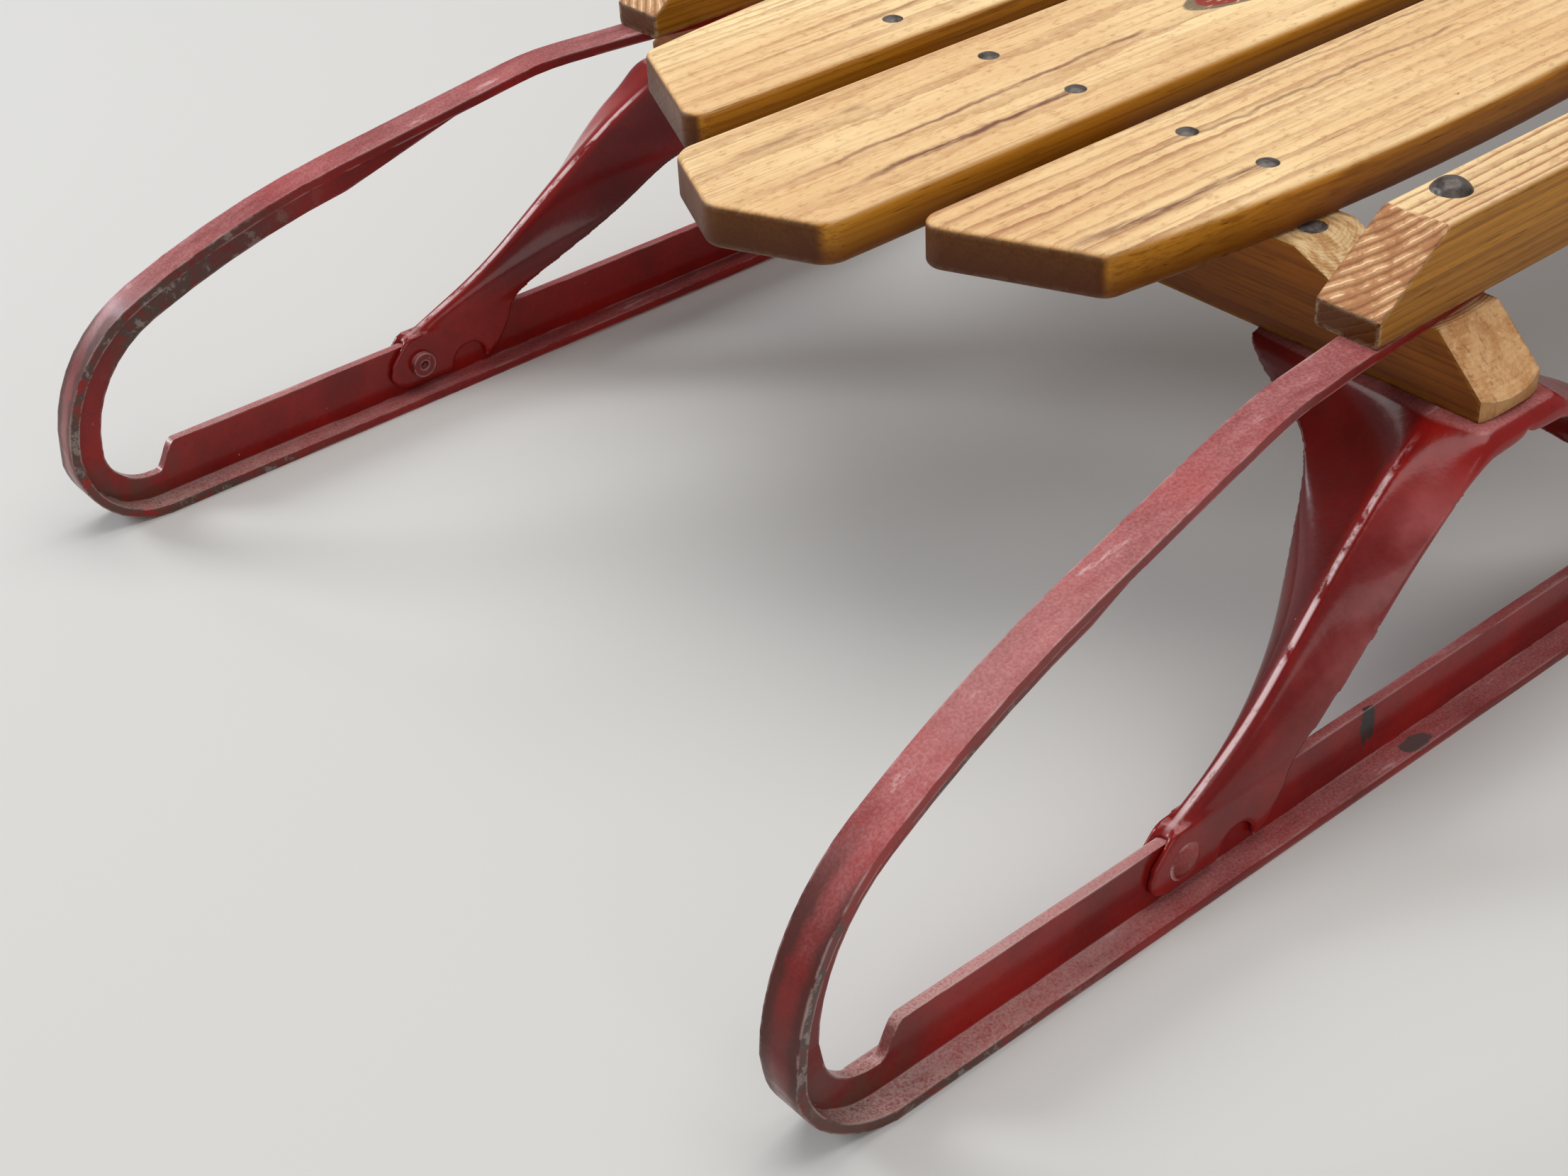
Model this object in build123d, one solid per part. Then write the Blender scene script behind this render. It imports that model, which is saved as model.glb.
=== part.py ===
from build123d import *
from math import asin, atan2, cos, degrees, hypot, radians, sin, sqrt
import os

os.makedirs("parts", exist_ok=True)

# A steerable wooden sled on steel runners. Millimetres, +Z up, floor at z = 0.
# The front faces -Y. Pieces are drawn on the left side, x > 0, and mirrored to the right.

# Whole sled
length = 1020.0
runner_gauge = 339.0
front_tip = -length / 2

# T-section steel of the runners
flange_width = 17.5
flange_thick = 3.0
web_thick = 3.0
web_top = 20.0
curl_depth = 11.0

# Rear curl of the runner: radii of its outer face and how far each arc turns
curl_low_radius = 25.0
curl_high_radius = 54.0
curl_high_turn = 65.0
curl_back_radius = 300.0
return_slope = 11.0
return_ease_radius = 100.0
return_width = 11.2
twist_half_height = 3.0
notch_ahead = 10.5
notch_run = 6.5
notch_sag = 2.6
pad_reach = 0.5
pad_neck = 9.0
pad_side_gap = 0.1

# Front sweep of the runner, from the front foot up to the rail's nose
sweep_softness = 0.5
sweep_low_share = 0.77
plan_bend_softness = 0.35
nose_pad = 38.0
foot_to_sweep = 4.0
web_fade = 0.9

# Side rails
rail_offset = 142.5
rail_width = 19.3
rail_height = 25.0
rail_rear_end = 207.0
rail_bevel_run = 24.0
rail_end_height = 7.5
rail_nose_gap = 10.0
rail_edge_round = 1.4

# Crossbars
crossbar_depth = 24.0
crossbar_bottom = 87.3
crossbar_height = 27.0
crossbar_rear_inset = 242.0
crossbar_spacing = 430.0
seat_slope_start = 107.0
seat_slope_run = 15.0
seat_depth = 6.8
end_bevel_start = 153.0
end_bevel_run = 16.5
end_face = 3.0
end_undercut = 1.0
end_bow = 2.0

# Deck slats
slat_thick = 12.8
slat_edge_round = 1.8
outer_slat_corner = 6.0
centre_slat_corner = 9.0
centre_slat_width = 65.0
slat_gap = 12.5
outer_slat_bulge = 104.5
outer_slat_radius = 889.0
outer_slat_taper = 10.0
bulge_ahead = 65.0
bulge_shoulder = 44.0
slat_overhang = 89.5
slat_chevron = 24.0
centre_overhang = 119.0
nose_length = 40.0
nose_round = 32.0
centre_rivet_inset = 15.0
outer_rivet_inset = 14.0
outer_rivet_outset = 17.5

# Standards: pressed steel, one sheet folded into a saddle plate and two channel legs
sheet = 2.0
sheet_across = 2.4
saddle_inner = 96.0
saddle_outer = 174.0
saddle_half_depth = 18.0
saddle_bend = 3.5
saddle_inner_round = 6.0
saddle_outer_round = 3.0
foot_offset = 118.5
foot_reach = 12.0
foot_low = 5.0
foot_clearance = 0.1
foot_step = 0.2
foot_fold = 3.0
foot_arch_radius = 6.5
foot_arch_ahead = 19.0

# Sections of a leg, from the crossbar down to the foot. The level is the share of the leg's height that is
# left. An x is the share of the way from the saddle's outer end (0) to its inner end (1). A y is the share of
# the way from the saddle's edge to the foot's rivet.
# level, inner edge x and y, ridge's inner side x and y, ridge's outer side x and y, outer edge x and y
leg_sections = [
    (0.995, 0.96, -0.035, 0.23, -0.035, 0.18, -0.035, 0.02, -0.035),
    (0.97, 0.98, -0.01, 0.235, -0.005, 0.18, -0.005, 0.00, -0.012),
    (0.90, 0.895, 0.005, 0.22, 0.10, 0.165, 0.10, -0.01, 0.05),
    (0.85, 0.81, 0.015, 0.208, 0.165, 0.155, 0.17, -0.015, 0.09),
    (0.82, 0.54, 0.12, 0.20, 0.20, 0.15, 0.21, -0.02, 0.11),
    (0.587, 0.475, 0.22, 0.158, 0.41, 0.114, 0.415, -0.02, 0.28),
    (0.214, 0.253, 0.51, 0.12, 0.72, 0.05, 0.73, 0.00, 0.48),
]
leg_inner_end = 0.62

# Rivets and their holes
rivet_fit = 0.1
rail_rivet_radius = 3.0
rail_rivet_offset = 140.0
rail_rivet_lead = 5.0
rail_rivet_head = 5.4
rail_rivet_crown = 3.2
foot_rivet_radius = 2.8
foot_rivet_head = 5.4
foot_rivet_crown = 1.8
foot_rivet_height = 12.5
slat_rivet_radius = 1.9
slat_rivet_head = 3.2
slat_rivet_crown = 0.9
saddle_rivet_radius = 2.5
saddle_rivet_offset = 103.0
saddle_rivet_head = 4.0
saddle_head_thick = 1.2
saddle_head_sunk = 0.3
tail_thick = 1.5
tail_overlap = 1.4
foot_tail_length = 2.0
foot_tail_wall = 1.2

# Steering gear
pivot_to_pin = 120.0
pin_inset = 17.0
bar_thick = 19.0
bar_half_length = 210.0
bar_half_width = 27.0
bar_edge_round = 4.0
bar_rail_clearance = 5.5
bar_waist_half_width = 15.5
bar_grip_half_width = 18.0
bar_shoulder_drop = 5.0
bar_grip_reach = 60.0
bar_waist_share = 0.63
bar_knob_share = 0.23
rope_hole_inset = 20.0
rope_hole_radius = 5.0
tongue_width = 26.0
tongue_thick = 3.0
tongue_tail = 27.0
tongue_joggle_start = 50.0
joggle_slope = 45.0
tongue_joggle_radius = 8.0
tongue_end_round = 12.5
tongue_screw_radius = 2.5
tongue_screw_offset = 19.5
tongue_screw_head = 3.5
tongue_screw_crown = 1.6
pivot_radius = 4.0
pivot_hole_gap = 0.4
pivot_head_radius = 10.0
pivot_head_thick = 4.0
spacer_radius = 14.0
nut_across = 13.0
nut_thick = 6.5
washer_radius = 10.0
washer_thick = 1.6
bolt_end = 2.0
slide_gap = 0.3
bumper_depth = 28.0
bumper_thick = 3.0
bumper_bow = 14.0
bumper_half_length = 160.0
bumper_end_round = 12.0
pin_radius = 4.0
pin_side_gap = 0.5
pin_slot_travel = 3.0
pin_head_radius = 8.0
pin_head_thick = 3.0
pin_head_bevel = 1.2
pin_tail_length = 2.0

# Levels and stations that follow from the sizes above
runner_x = runner_gauge / 2
crossbar_top = crossbar_bottom + crossbar_height
deck_top = crossbar_top + slat_thick
strap_low = crossbar_top - seat_depth
rail_low = strap_low + flange_thick
rail_top = rail_low + rail_height
rear_lean = degrees(atan2(runner_x - rail_offset, crossbar_rear_inset))
rear_tip = length / 2 - flange_width / 2 * sin(radians(rear_lean))
rear_bar_y = rear_tip - crossbar_rear_inset
front_bar_y = rear_bar_y - crossbar_spacing
rear_rivet_y = rear_bar_y - rail_rivet_lead
front_rivet_y = front_bar_y + rail_rivet_lead
deck_middle_y = (rear_bar_y + front_bar_y) / 2
rail_nose_y = front_tip + rail_nose_gap
nose_rivet_y = rail_nose_y + nose_pad / 2
centre_half = centre_slat_width / 2
outer_slat_inner = centre_half + slat_gap
centre_rivet_x = centre_half - centre_rivet_inset
outer_rivets_x = (outer_slat_inner + outer_rivet_inset, outer_slat_bulge - outer_rivet_outset)
bumper_high = strap_low - slide_gap
bumper_low = bumper_high - bumper_thick
pin_y = front_tip + pin_inset
pivot_y = pin_y + pivot_to_pin
bar_low = rail_top + bar_rail_clearance
bar_high = bar_low + bar_thick
foot_half = web_thick / 2 + foot_clearance + sheet
saddle_head_high = crossbar_top - saddle_head_sunk
saddle_head_low = saddle_head_high - saddle_head_thick
rail_rear_y = rear_tip - rail_rear_end
foot_end_y = front_bar_y - foot_offset - foot_reach


def heading_vector(angle):
    return cos(radians(angle)), sin(radians(angle))


def trace(start, heading, moves, offset):
    """Edges and end of a flat path that is offset to its left. A move is (radius, turn) or (length,)."""
    dx, dz = heading_vector(heading)
    point = (start[0] - dz * offset, start[1] + dx * offset)
    edges = []
    for move in moves:
        dx, dz = heading_vector(heading)
        if len(move) == 1:
            after = (point[0] + dx * move[0], point[1] + dz * move[0])
            edges.append(Line(point, after))
        else:
            radius, turn = move
            side = 1 if turn > 0 else -1
            true_radius = radius - side * offset
            centre = (point[0] - side * dz * true_radius, point[1] + side * dx * true_radius)
            start_angle = heading - side * 90
            ends = []
            for share in (0.5, 1.0):
                ex, ez = heading_vector(start_angle + turn * share)
                ends.append((centre[0] + true_radius * ex, centre[1] + true_radius * ez))
            after = ends[1]
            edges.append(ThreePointArc(point, ends[0], after))
            heading += turn
        point = after
    return edges, point


def band(start, heading, moves, near, far):
    """Flat face between two offsets of one path."""
    low, low_end = trace(start, heading, moves, near)
    high, high_end = trace(start, heading, moves, far)
    close = [Line(low_end, high_end), Line(low[0] @ 0, high[0] @ 0)]
    return make_face(Wire(low + high + close).edges())


def upright_plane(x, y, turn):
    """Vertical plane at (x, y): its first axis points to the rear, turned about Z by turn degrees."""
    a, b = -sin(radians(turn)), cos(radians(turn))
    return Plane(origin=(x, y, 0), x_dir=(a, b, 0), z_dir=(b, -a, 0))


def wall(plane, face, thick):
    return extrude(plane * face, amount=thick / 2, both=True)


def cylinder(x, y, low, high, radius):
    return Pos(x, y, low) * Cylinder(radius, high - low, align=(Align.CENTER, Align.CENTER, Align.MIN))


def domed_rivet(radius, head, crown, low, high):
    """Rivet along Z: a shank from low to high and a domed head on top."""
    dome_radius = (head ** 2 + crown ** 2) / (2 * crown)
    ball = Pos(0, 0, high + crown - dome_radius) * Sphere(dome_radius)
    cap = ball & cylinder(0, 0, high, high + crown + 1, head + 1)
    return cylinder(0, 0, low, high, radius) + cap


def mirrored(shape):
    return mirror(shape, about=Plane.YZ)


def both_sides(shape):
    return Compound(children=[shape, mirrored(shape)])


# Runner: the flange and the web are bands of one path, at two widths
low_stop = degrees(asin(twist_half_height / curl_low_radius))
high_start = degrees(asin(twist_half_height / curl_high_radius))


def bend_and_line(ahead, aside, softness):
    """Angle and radius of a bend, and the straight line after it, that together reach (ahead, aside).

    The softer the bend, the steeper and shorter the line: 0 is a straight line and 1 is all bend.
    """
    turn = (1 + softness) * atan2(aside, ahead)
    sine, rest = sin(turn), 1 - cos(turn)
    return degrees(turn), (ahead * sine - aside * cos(turn)) / rest, aside * sine / rest - ahead


def section_face(plane, start, heading, near, far, thick):
    """Upright cross-section of a band at its start, as a face across the path."""
    dx, dz = heading_vector(heading)
    corners = []
    for offset, across in ((near, -1), (near, 1), (far, 1), (far, -1)):
        u, v = start[0] - dz * offset, start[1] + dx * offset
        corners.append(plane.from_local_coords(Vector(u, v, across * thick / 2)))
    return make_face(Polyline(*corners, close=True).edges())


def runs_out(plane, start, heading, moves, depth, length):
    """The web's last stretch, which narrows to nothing along a straight run."""
    low_end = trace(start, heading, moves, flange_thick)[1]
    high_end = trace(start, heading, moves, depth)[1]
    heading += sum(move[1] for move in moves if len(move) == 2)
    dx, dz = heading_vector(heading)
    tip = (low_end[0] + dx * length, low_end[1] + dz * length)
    return wall(plane, make_face(Polyline(low_end, tip, high_end, close=True).edges()), web_thick)


def runner_floor(flat_end):
    """Straight run on the floor, and the low arc of the rear curl with its flange narrowing."""
    plane = upright_plane(runner_x, 0, 0)
    curl_start = rear_tip - curl_low_radius
    notch_y = curl_start - notch_ahead
    straight = [(curl_start - flat_end,)]
    low_arc = [(curl_low_radius, 90 - low_stop)]
    solids = [wall(plane, band((flat_end, 0), 0, straight, 0, flange_thick), flange_width)]
    deep_web = [(notch_y - flat_end,)]
    solids.append(wall(plane, band((flat_end, 0), 0, deep_web, flange_thick, web_top), web_thick))
    curl_web = [(notch_ahead,)] + low_arc
    solids.append(wall(plane, band((notch_y, 0), 0, curl_web, flange_thick, curl_depth), web_thick))
    notch_end = (notch_y + notch_run, curl_depth)
    notch_middle = (notch_y + notch_run / 3, curl_depth + notch_sag)
    cut_edge = [
        Line((notch_y, curl_depth), (notch_y, web_top)),
        ThreePointArc((notch_y, web_top), notch_middle, notch_end),
        Line(notch_end, (notch_y, curl_depth)),
    ]
    solids.append(wall(plane, make_face(cut_edge), web_thick))
    arc_flange = wall(plane, band((curl_start, 0), 0, low_arc, 0, flange_thick), flange_width)
    half, end_half = flange_width / 2, return_width / 2
    inner_edge = [(-half, curl_start - 1), (-end_half, rear_tip - flange_thick), (-end_half, rear_tip + 1)]
    taper = Polyline(*inner_edge, *[(-x, y) for x, y in reversed(inner_edge)], close=True)
    solids.append(arc_flange & extrude(Pos(runner_x, 0) * make_face(taper.edges()), amount=curl_low_radius))
    return solids


def runner_return():
    """High arc of the rear curl, and the strap that rises forward to its seat under the rail."""
    ground_plane = upright_plane(runner_x, 0, 0)
    return_plane = upright_plane(runner_x, rear_tip, -rear_lean)
    upright = 90 - low_stop
    dx, dz = heading_vector(upright)
    low_end = (rear_tip + curl_low_radius * (dz - 1), curl_low_radius * (1 - dx))
    lift = heading_vector(high_start)
    high_end = (curl_high_radius * (lift[0] - 1), curl_low_radius + curl_high_radius * lift[1])
    heading = 90 + high_start

    # The strap turns inboard where it stands upright at the back of the curl
    solids = []
    for near, far, thick in ((0, flange_thick, return_width), (flange_thick, curl_depth, web_thick)):
        below = section_face(ground_plane, low_end, upright, near, far, thick)
        above = section_face(return_plane, high_end, heading, near, far, thick)
        solids.append(loft([below, above], ruled=True))

    high_turn, back_turn = curl_high_turn - high_start, 90 - return_slope - curl_high_turn
    curl = [(curl_high_radius, high_turn), (curl_back_radius, back_turn)]
    curl_end = trace(high_end, heading, curl, 0)[1]
    ease_rise = return_ease_radius * (1 - cos(radians(return_slope)))
    run = (rail_low - curl_end[1] - ease_rise) / sin(radians(return_slope))
    flat_start = trace(high_end, heading, curl + [(run,), (return_ease_radius, return_slope)], 0)[1]
    neck_y = rail_rear_y + pad_reach + pad_neck
    flat = -flat_start[0] - (rear_tip - neck_y) / cos(radians(rear_lean)) - return_width / 5
    moves = curl + [(run,), (return_ease_radius, return_slope), (abs(flat),)]
    solids.append(wall(return_plane, band(high_end, heading, moves, 0, flange_thick), return_width))
    solids.append(wall(return_plane, band(high_end, heading, curl, flange_thick, curl_depth), web_thick))
    solids.append(runs_out(return_plane, high_end, heading, curl, curl_depth, web_fade * run))

    # The pad under the rail is as wide as the rail
    neck_x = rail_offset + (neck_y - rear_bar_y) * (runner_x - rail_offset) / crossbar_rear_inset
    half, neck_half = rail_width / 2 + pad_side_gap, return_width / 2
    front_y = rear_bar_y - crossbar_depth / 2
    shoulder_y = rail_rear_y + pad_reach
    plan = Polyline(
        (rail_offset - half, front_y), (rail_offset + half, front_y), (rail_offset + half, shoulder_y),
        (neck_x + neck_half, neck_y), (neck_x - neck_half, neck_y), (rail_offset - half, shoulder_y), close=True)
    solids.append(extrude(Pos(0, 0, strap_low) * make_face(plan.edges()), amount=flange_thick))
    return solids


def runner_front(flat_end):
    """The front leaves the straight in a slight bend towards the rail, then sweeps up under the rail's nose."""
    ahead = flat_end - nose_rivet_y
    lean, plan_radius, line = bend_and_line(ahead, runner_x - rail_offset, plan_bend_softness)
    sweep_y = flat_end - plan_radius * sin(radians(lean))
    sweep_x = runner_x - plan_radius * (1 - cos(radians(lean)))
    turn, both_radii, climb = bend_and_line(line - nose_pad / 2, strap_low, sweep_softness)
    low_radius = both_radii * sweep_low_share

    section = [(-flange_width / 2, 0), (flange_width / 2, 0), (flange_width / 2, flange_thick),
               (web_thick / 2, flange_thick), (web_thick / 2, web_top), (-web_thick / 2, web_top),
               (-web_thick / 2, flange_thick), (-flange_width / 2, flange_thick)]
    tee = make_face(Polyline(*section, close=True).edges())
    end_plane = Plane(origin=(runner_x, flat_end, 0), x_dir=(1, 0, 0), z_dir=(0, -1, 0))
    axis = Axis((runner_x - plan_radius, flat_end, 0), (0, 0, -1))
    solids = [revolve(end_plane * tee, axis=axis, revolution_arc=lean)]
    a, b = -sin(radians(lean)), -cos(radians(lean))
    plane = Plane(origin=(sweep_x, sweep_y, 0), x_dir=(a, b, 0), z_dir=(b, -a, 0))
    rise = [(low_radius, turn)]
    moves = rise + [(climb,), (both_radii - low_radius, -turn), (nose_pad,)]
    solids.append(wall(plane, band((0, 0), 0, moves, 0, flange_thick), flange_width))
    solids.append(wall(plane, band((0, 0), 0, rise, flange_thick, web_top), web_thick))
    solids.append(runs_out(plane, (0, 0), 0, rise, web_top, climb))
    return solids


def runner():
    flat_end = foot_end_y - foot_to_sweep
    solids = runner_floor(flat_end) + runner_return() + runner_front(flat_end)
    body = solids[0].fuse(*solids[1:]).clean()
    for bar_y in (rear_bar_y, front_bar_y):
        for side in (-1, 1):
            hole = Cylinder(foot_rivet_radius + rivet_fit, 4 * web_thick, rotation=(0, 90, 0))
            body -= Pos(runner_x, bar_y + side * foot_offset, foot_rivet_height) * hole
    for y in (rear_rivet_y, nose_rivet_y):
        body -= cylinder(rail_rivet_offset, y, strap_low - 5, rail_low + 5, rail_rivet_radius + rivet_fit)
    return body


def sheet_section(z, corners):
    """Face at height z: a sheet that follows the corners, with its thickness on their right-hand side."""
    normals = []
    for (x0, y0), (x1, y1) in zip(corners, corners[1:]):
        size = hypot(x1 - x0, y1 - y0)
        normals.append(((y1 - y0) / size, (x0 - x1) / size))
    inside = []
    for (x, y), before, after in zip(corners, normals[:1] + normals, normals + normals[-1:]):
        share = sheet_across / (1 + before[0] * after[0] + before[1] * after[1])
        inside.append((x + share * (before[0] + after[0]), y + share * (before[1] + after[1])))
    return make_face(Polyline(*[(x, y, z) for x, y in corners + inside[::-1]], close=True).edges())


def standard_leg():
    """One leg: a sheet bent down from the saddle plate, which twists and folds round the runner's web."""
    inner, outer = runner_x - foot_half, runner_x + foot_half
    leg_low = web_top + 2
    wide = saddle_outer - saddle_inner
    far = foot_offset - saddle_half_depth
    sections = []
    for level, *shares in leg_sections:
        z = leg_low + level * (crossbar_bottom - leg_low)
        pairs = zip(shares[::2], shares[1::2])
        sections.append(sheet_section(z, [(saddle_outer - x * wide, saddle_half_depth + y * far) for x, y in pairs]))
    edge_y = saddle_half_depth + leg_inner_end * far
    back = foot_offset + foot_reach
    fold_y = foot_offset + foot_fold
    low, high = inner - foot_step, outer + foot_step
    sections.append(sheet_section(leg_low, [(low, edge_y), (low, fold_y), (high, fold_y), (high, edge_y)]))
    leg = loft(sections, ruled=True)

    # The two cheeks that straddle the web, with a rounded tab behind the rivet and an arch ahead of it
    rise = leg_low - foot_low
    cheek = make_face(Polyline(
        (edge_y + 1, leg_low + sheet), (edge_y, leg_low), (edge_y + 2, foot_low + 0.6 * rise),
        (edge_y + 7, foot_low + 0.2 * rise), (edge_y + 12, foot_low), (back - 6, foot_low),
        (back - 2, foot_low + 2), (back, foot_low + 0.3 * rise), (back - 1.5, foot_low + 0.6 * rise),
        (fold_y + 2, leg_low - 0.5), (fold_y - 3, leg_low + sheet), close=True).edges())
    cheek -= Pos(foot_offset - foot_arch_ahead, foot_low + 1) * Circle(foot_arch_radius)
    side = Plane(origin=(0, 0, 0), x_dir=(0, 1, 0), z_dir=(1, 0, 0))
    cheeks = [extrude(side.offset(x) * cheek, amount=sheet) for x in (inner, outer - sheet)]
    return leg, cheeks


def standard(rivet_lead):
    """Pressed stand under one end of a crossbar, whose centre is at y = 0."""
    plate_low = crossbar_bottom - sheet
    leg, cheeks = standard_leg()
    middle, across = (saddle_inner + saddle_outer) / 2, saddle_outer - saddle_inner
    plan = Pos(middle, 0) * Rectangle(across, 2 * (saddle_half_depth - saddle_bend))
    plan = fillet(plan.vertices().filter_by(lambda v: v.X > middle), radius=saddle_outer_round)
    plan = fillet(plan.vertices().filter_by(lambda v: v.X < saddle_inner + 1), radius=saddle_inner_round)
    plate = extrude(Pos(0, 0, plate_low) * plan, amount=sheet)
    one_end = [leg] + cheeks
    other_end = [mirror(piece, about=Plane.XZ) for piece in one_end]
    body = plate.fuse(*one_end, *other_end).clean()
    for side_of in (-1, 1):
        hole = Cylinder(foot_rivet_radius + rivet_fit, 8 * sheet, rotation=(0, 90, 0))
        body -= Pos(runner_x, side_of * foot_offset, foot_rivet_height) * hole
    rivets = [(rail_rivet_offset, rivet_lead, rail_rivet_radius), (saddle_rivet_offset, 0, saddle_rivet_radius)]
    for x, y, radius in rivets:
        body -= cylinder(x, y, plate_low - 1, crossbar_bottom + 1, radius + rivet_fit)
    return body


def crossbar(bar_y, rivet_y, seat_level):
    """Hardwood bar whose ends are cut down for the rails and bevelled outside them."""
    slope_end = seat_slope_start + seat_slope_run
    end_x = end_bevel_start + end_bevel_run
    right = [(seat_slope_start, crossbar_top), (slope_end, seat_level), (end_bevel_start, seat_level),
             (end_x, crossbar_bottom + end_face + end_undercut),
             (end_x, crossbar_bottom + end_undercut),
             (end_x - end_undercut, crossbar_bottom)]
    left = [(-x, z) for x, z in reversed(right)]
    side = Plane(origin=(0, bar_y, 0), x_dir=(1, 0, 0), z_dir=(0, -1, 0))
    bar = wall(side, make_face(Polyline(*right, *left, close=True).edges()), crossbar_depth)
    near, far = bar_y - crossbar_depth / 2, bar_y + crossbar_depth / 2
    bow = end_x - end_bow
    ends = [Line((-bow, near), (bow, near)), ThreePointArc((bow, near), (end_x, bar_y), (bow, far)),
            Line((bow, far), (-bow, far)), ThreePointArc((-bow, far), (-end_x, bar_y), (-bow, near))]
    bar &= extrude(make_face(ends), amount=2 * crossbar_top)
    low = crossbar_bottom - 1
    slat_holes = (centre_rivet_x, *outer_rivets_x)
    for x in slat_holes:
        for sign in (-1, 1):
            bar -= cylinder(sign * x, bar_y, low, crossbar_top + 1, slat_rivet_radius + rivet_fit)
    end_holes = [
        (rail_rivet_offset, rivet_y, low, rail_rivet_radius),
        (saddle_rivet_offset, bar_y, low, saddle_rivet_radius),
        (saddle_rivet_offset, bar_y, saddle_head_low, saddle_rivet_head),
    ]
    for x, y, from_z, radius in end_holes:
        for sign in (-1, 1):
            bar -= cylinder(sign * x, y, from_z, crossbar_top + 1, radius + rivet_fit)
    return bar


def rail():
    top_rear = rail_rear_y - rail_bevel_run
    top_front = rail_nose_y + rail_bevel_run
    end_level = rail_low + rail_end_height
    outline = Polyline(
        (rail_rear_y, rail_low), (rail_rear_y, end_level), (top_rear, rail_top), (top_front, rail_top),
        (rail_nose_y, end_level), (rail_nose_y, rail_low), close=True)
    body = wall(upright_plane(rail_offset, 0, 0), make_face(outline.edges()), rail_width)
    body = fillet(body.edges().filter_by(Axis.Y), radius=rail_edge_round)
    for y in (rear_rivet_y, front_rivet_y, nose_rivet_y):
        body -= cylinder(rail_rivet_offset, y, rail_low - 1, rail_top + 1, rail_rivet_radius + rivet_fit)
    return body


def finish_slat(outline, corner_round, is_corner):
    """Slat from a plan outline: rounded corners, then softened top and bottom edges."""
    face = make_face(outline)
    face = fillet(face.vertices().filter_by(is_corner), radius=corner_round)
    slat = extrude(Pos(0, 0, crossbar_top) * face, amount=slat_thick)
    rims = slat.faces().sort_by(Axis.Z)[-1].edges() + slat.faces().sort_by(Axis.Z)[0].edges()
    return fillet(rims, radius=slat_edge_round)


def outer_slat():
    bulge_y = rear_bar_y - bulge_ahead
    drop = tan_run(slat_chevron)
    rear_y = rear_bar_y + slat_overhang
    centre_x = outer_slat_bulge - outer_slat_radius

    def bulge_x(y):
        return centre_x + sqrt(outer_slat_radius ** 2 - (y - bulge_y) ** 2)

    corner_y = rear_y - drop * (outer_slat_bulge - outer_slat_taper - outer_slat_inner)
    corner = (bulge_x(corner_y), corner_y)
    shoulder_y = bulge_y - bulge_shoulder
    shoulder = (bulge_x(shoulder_y), shoulder_y)
    half = shoulder_y - deck_middle_y
    waist_x = shoulder[0] - half * bulge_shoulder / outer_slat_radius / 2
    middle = (corner_y + shoulder_y) / 2

    def ahead(point):
        return point[0], 2 * deck_middle_y - point[1]

    bulge = (bulge_x(middle), middle)
    inner_rear = (outer_slat_inner, rear_y)
    outline = [
        Line(inner_rear, corner),
        ThreePointArc(corner, bulge, shoulder),
        ThreePointArc(shoulder, (waist_x, deck_middle_y), ahead(shoulder)),
        ThreePointArc(ahead(shoulder), ahead(bulge), ahead(corner)),
        Line(ahead(corner), ahead(inner_rear)),
        Line(ahead(inner_rear), inner_rear),
    ]
    ends = abs(corner_y - deck_middle_y) - 5
    slat = finish_slat(outline, outer_slat_corner, lambda v: abs(v.Y - deck_middle_y) > ends)
    for y in (rear_bar_y, front_bar_y):
        for x in outer_rivets_x:
            slat -= cylinder(x, y, crossbar_top - 1, deck_top + 1, slat_rivet_radius + rivet_fit)
    return slat


def tan_run(angle):
    return sin(radians(angle)) / cos(radians(angle))


def centre_slat():
    apex_y = rear_bar_y + centre_overhang
    shoulder_y = apex_y - centre_half * tan_run(slat_chevron)
    nose_y = pivot_y - nose_length
    round_y = nose_y + nose_round
    outline = [
        Line((-centre_half, round_y), (-centre_half, shoulder_y)),
        Line((-centre_half, shoulder_y), (0, apex_y)),
        Line((0, apex_y), (centre_half, shoulder_y)),
        Line((centre_half, shoulder_y), (centre_half, round_y)),
        ThreePointArc((centre_half, round_y), (0, nose_y), (-centre_half, round_y)),
    ]
    rear = shoulder_y - 1
    slat = finish_slat(outline, centre_slat_corner, lambda v: v.Y > rear)
    for y in (rear_bar_y, front_bar_y):
        for x in (-centre_rivet_x, centre_rivet_x):
            slat -= cylinder(x, y, crossbar_top - 1, deck_top + 1, slat_rivet_radius + rivet_fit)
    slat -= cylinder(0, pivot_y, crossbar_top - 1, deck_top + 1, pivot_radius + rivet_fit)
    return slat


# Rivets
def slat_rivets(bar_y):
    rivets = []
    for x in (centre_rivet_x, *outer_rivets_x):
        one = domed_rivet(slat_rivet_radius, slat_rivet_head, slat_rivet_crown, crossbar_bottom, deck_top)
        one += cylinder(0, 0, crossbar_bottom - tail_thick, crossbar_bottom, slat_rivet_head)
        rivets += [Pos(x, bar_y, 0) * one, Pos(-x, bar_y, 0) * one]
    return Compound(children=rivets)


def rail_rivets(y, low, tail):
    one = domed_rivet(rail_rivet_radius, rail_rivet_head, rail_rivet_crown, low, rail_top)
    if tail:
        one += cylinder(0, 0, low - tail_thick, low, rail_rivet_radius + tail_overlap)
    return both_sides(Pos(rail_rivet_offset, y, 0) * one)


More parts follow.
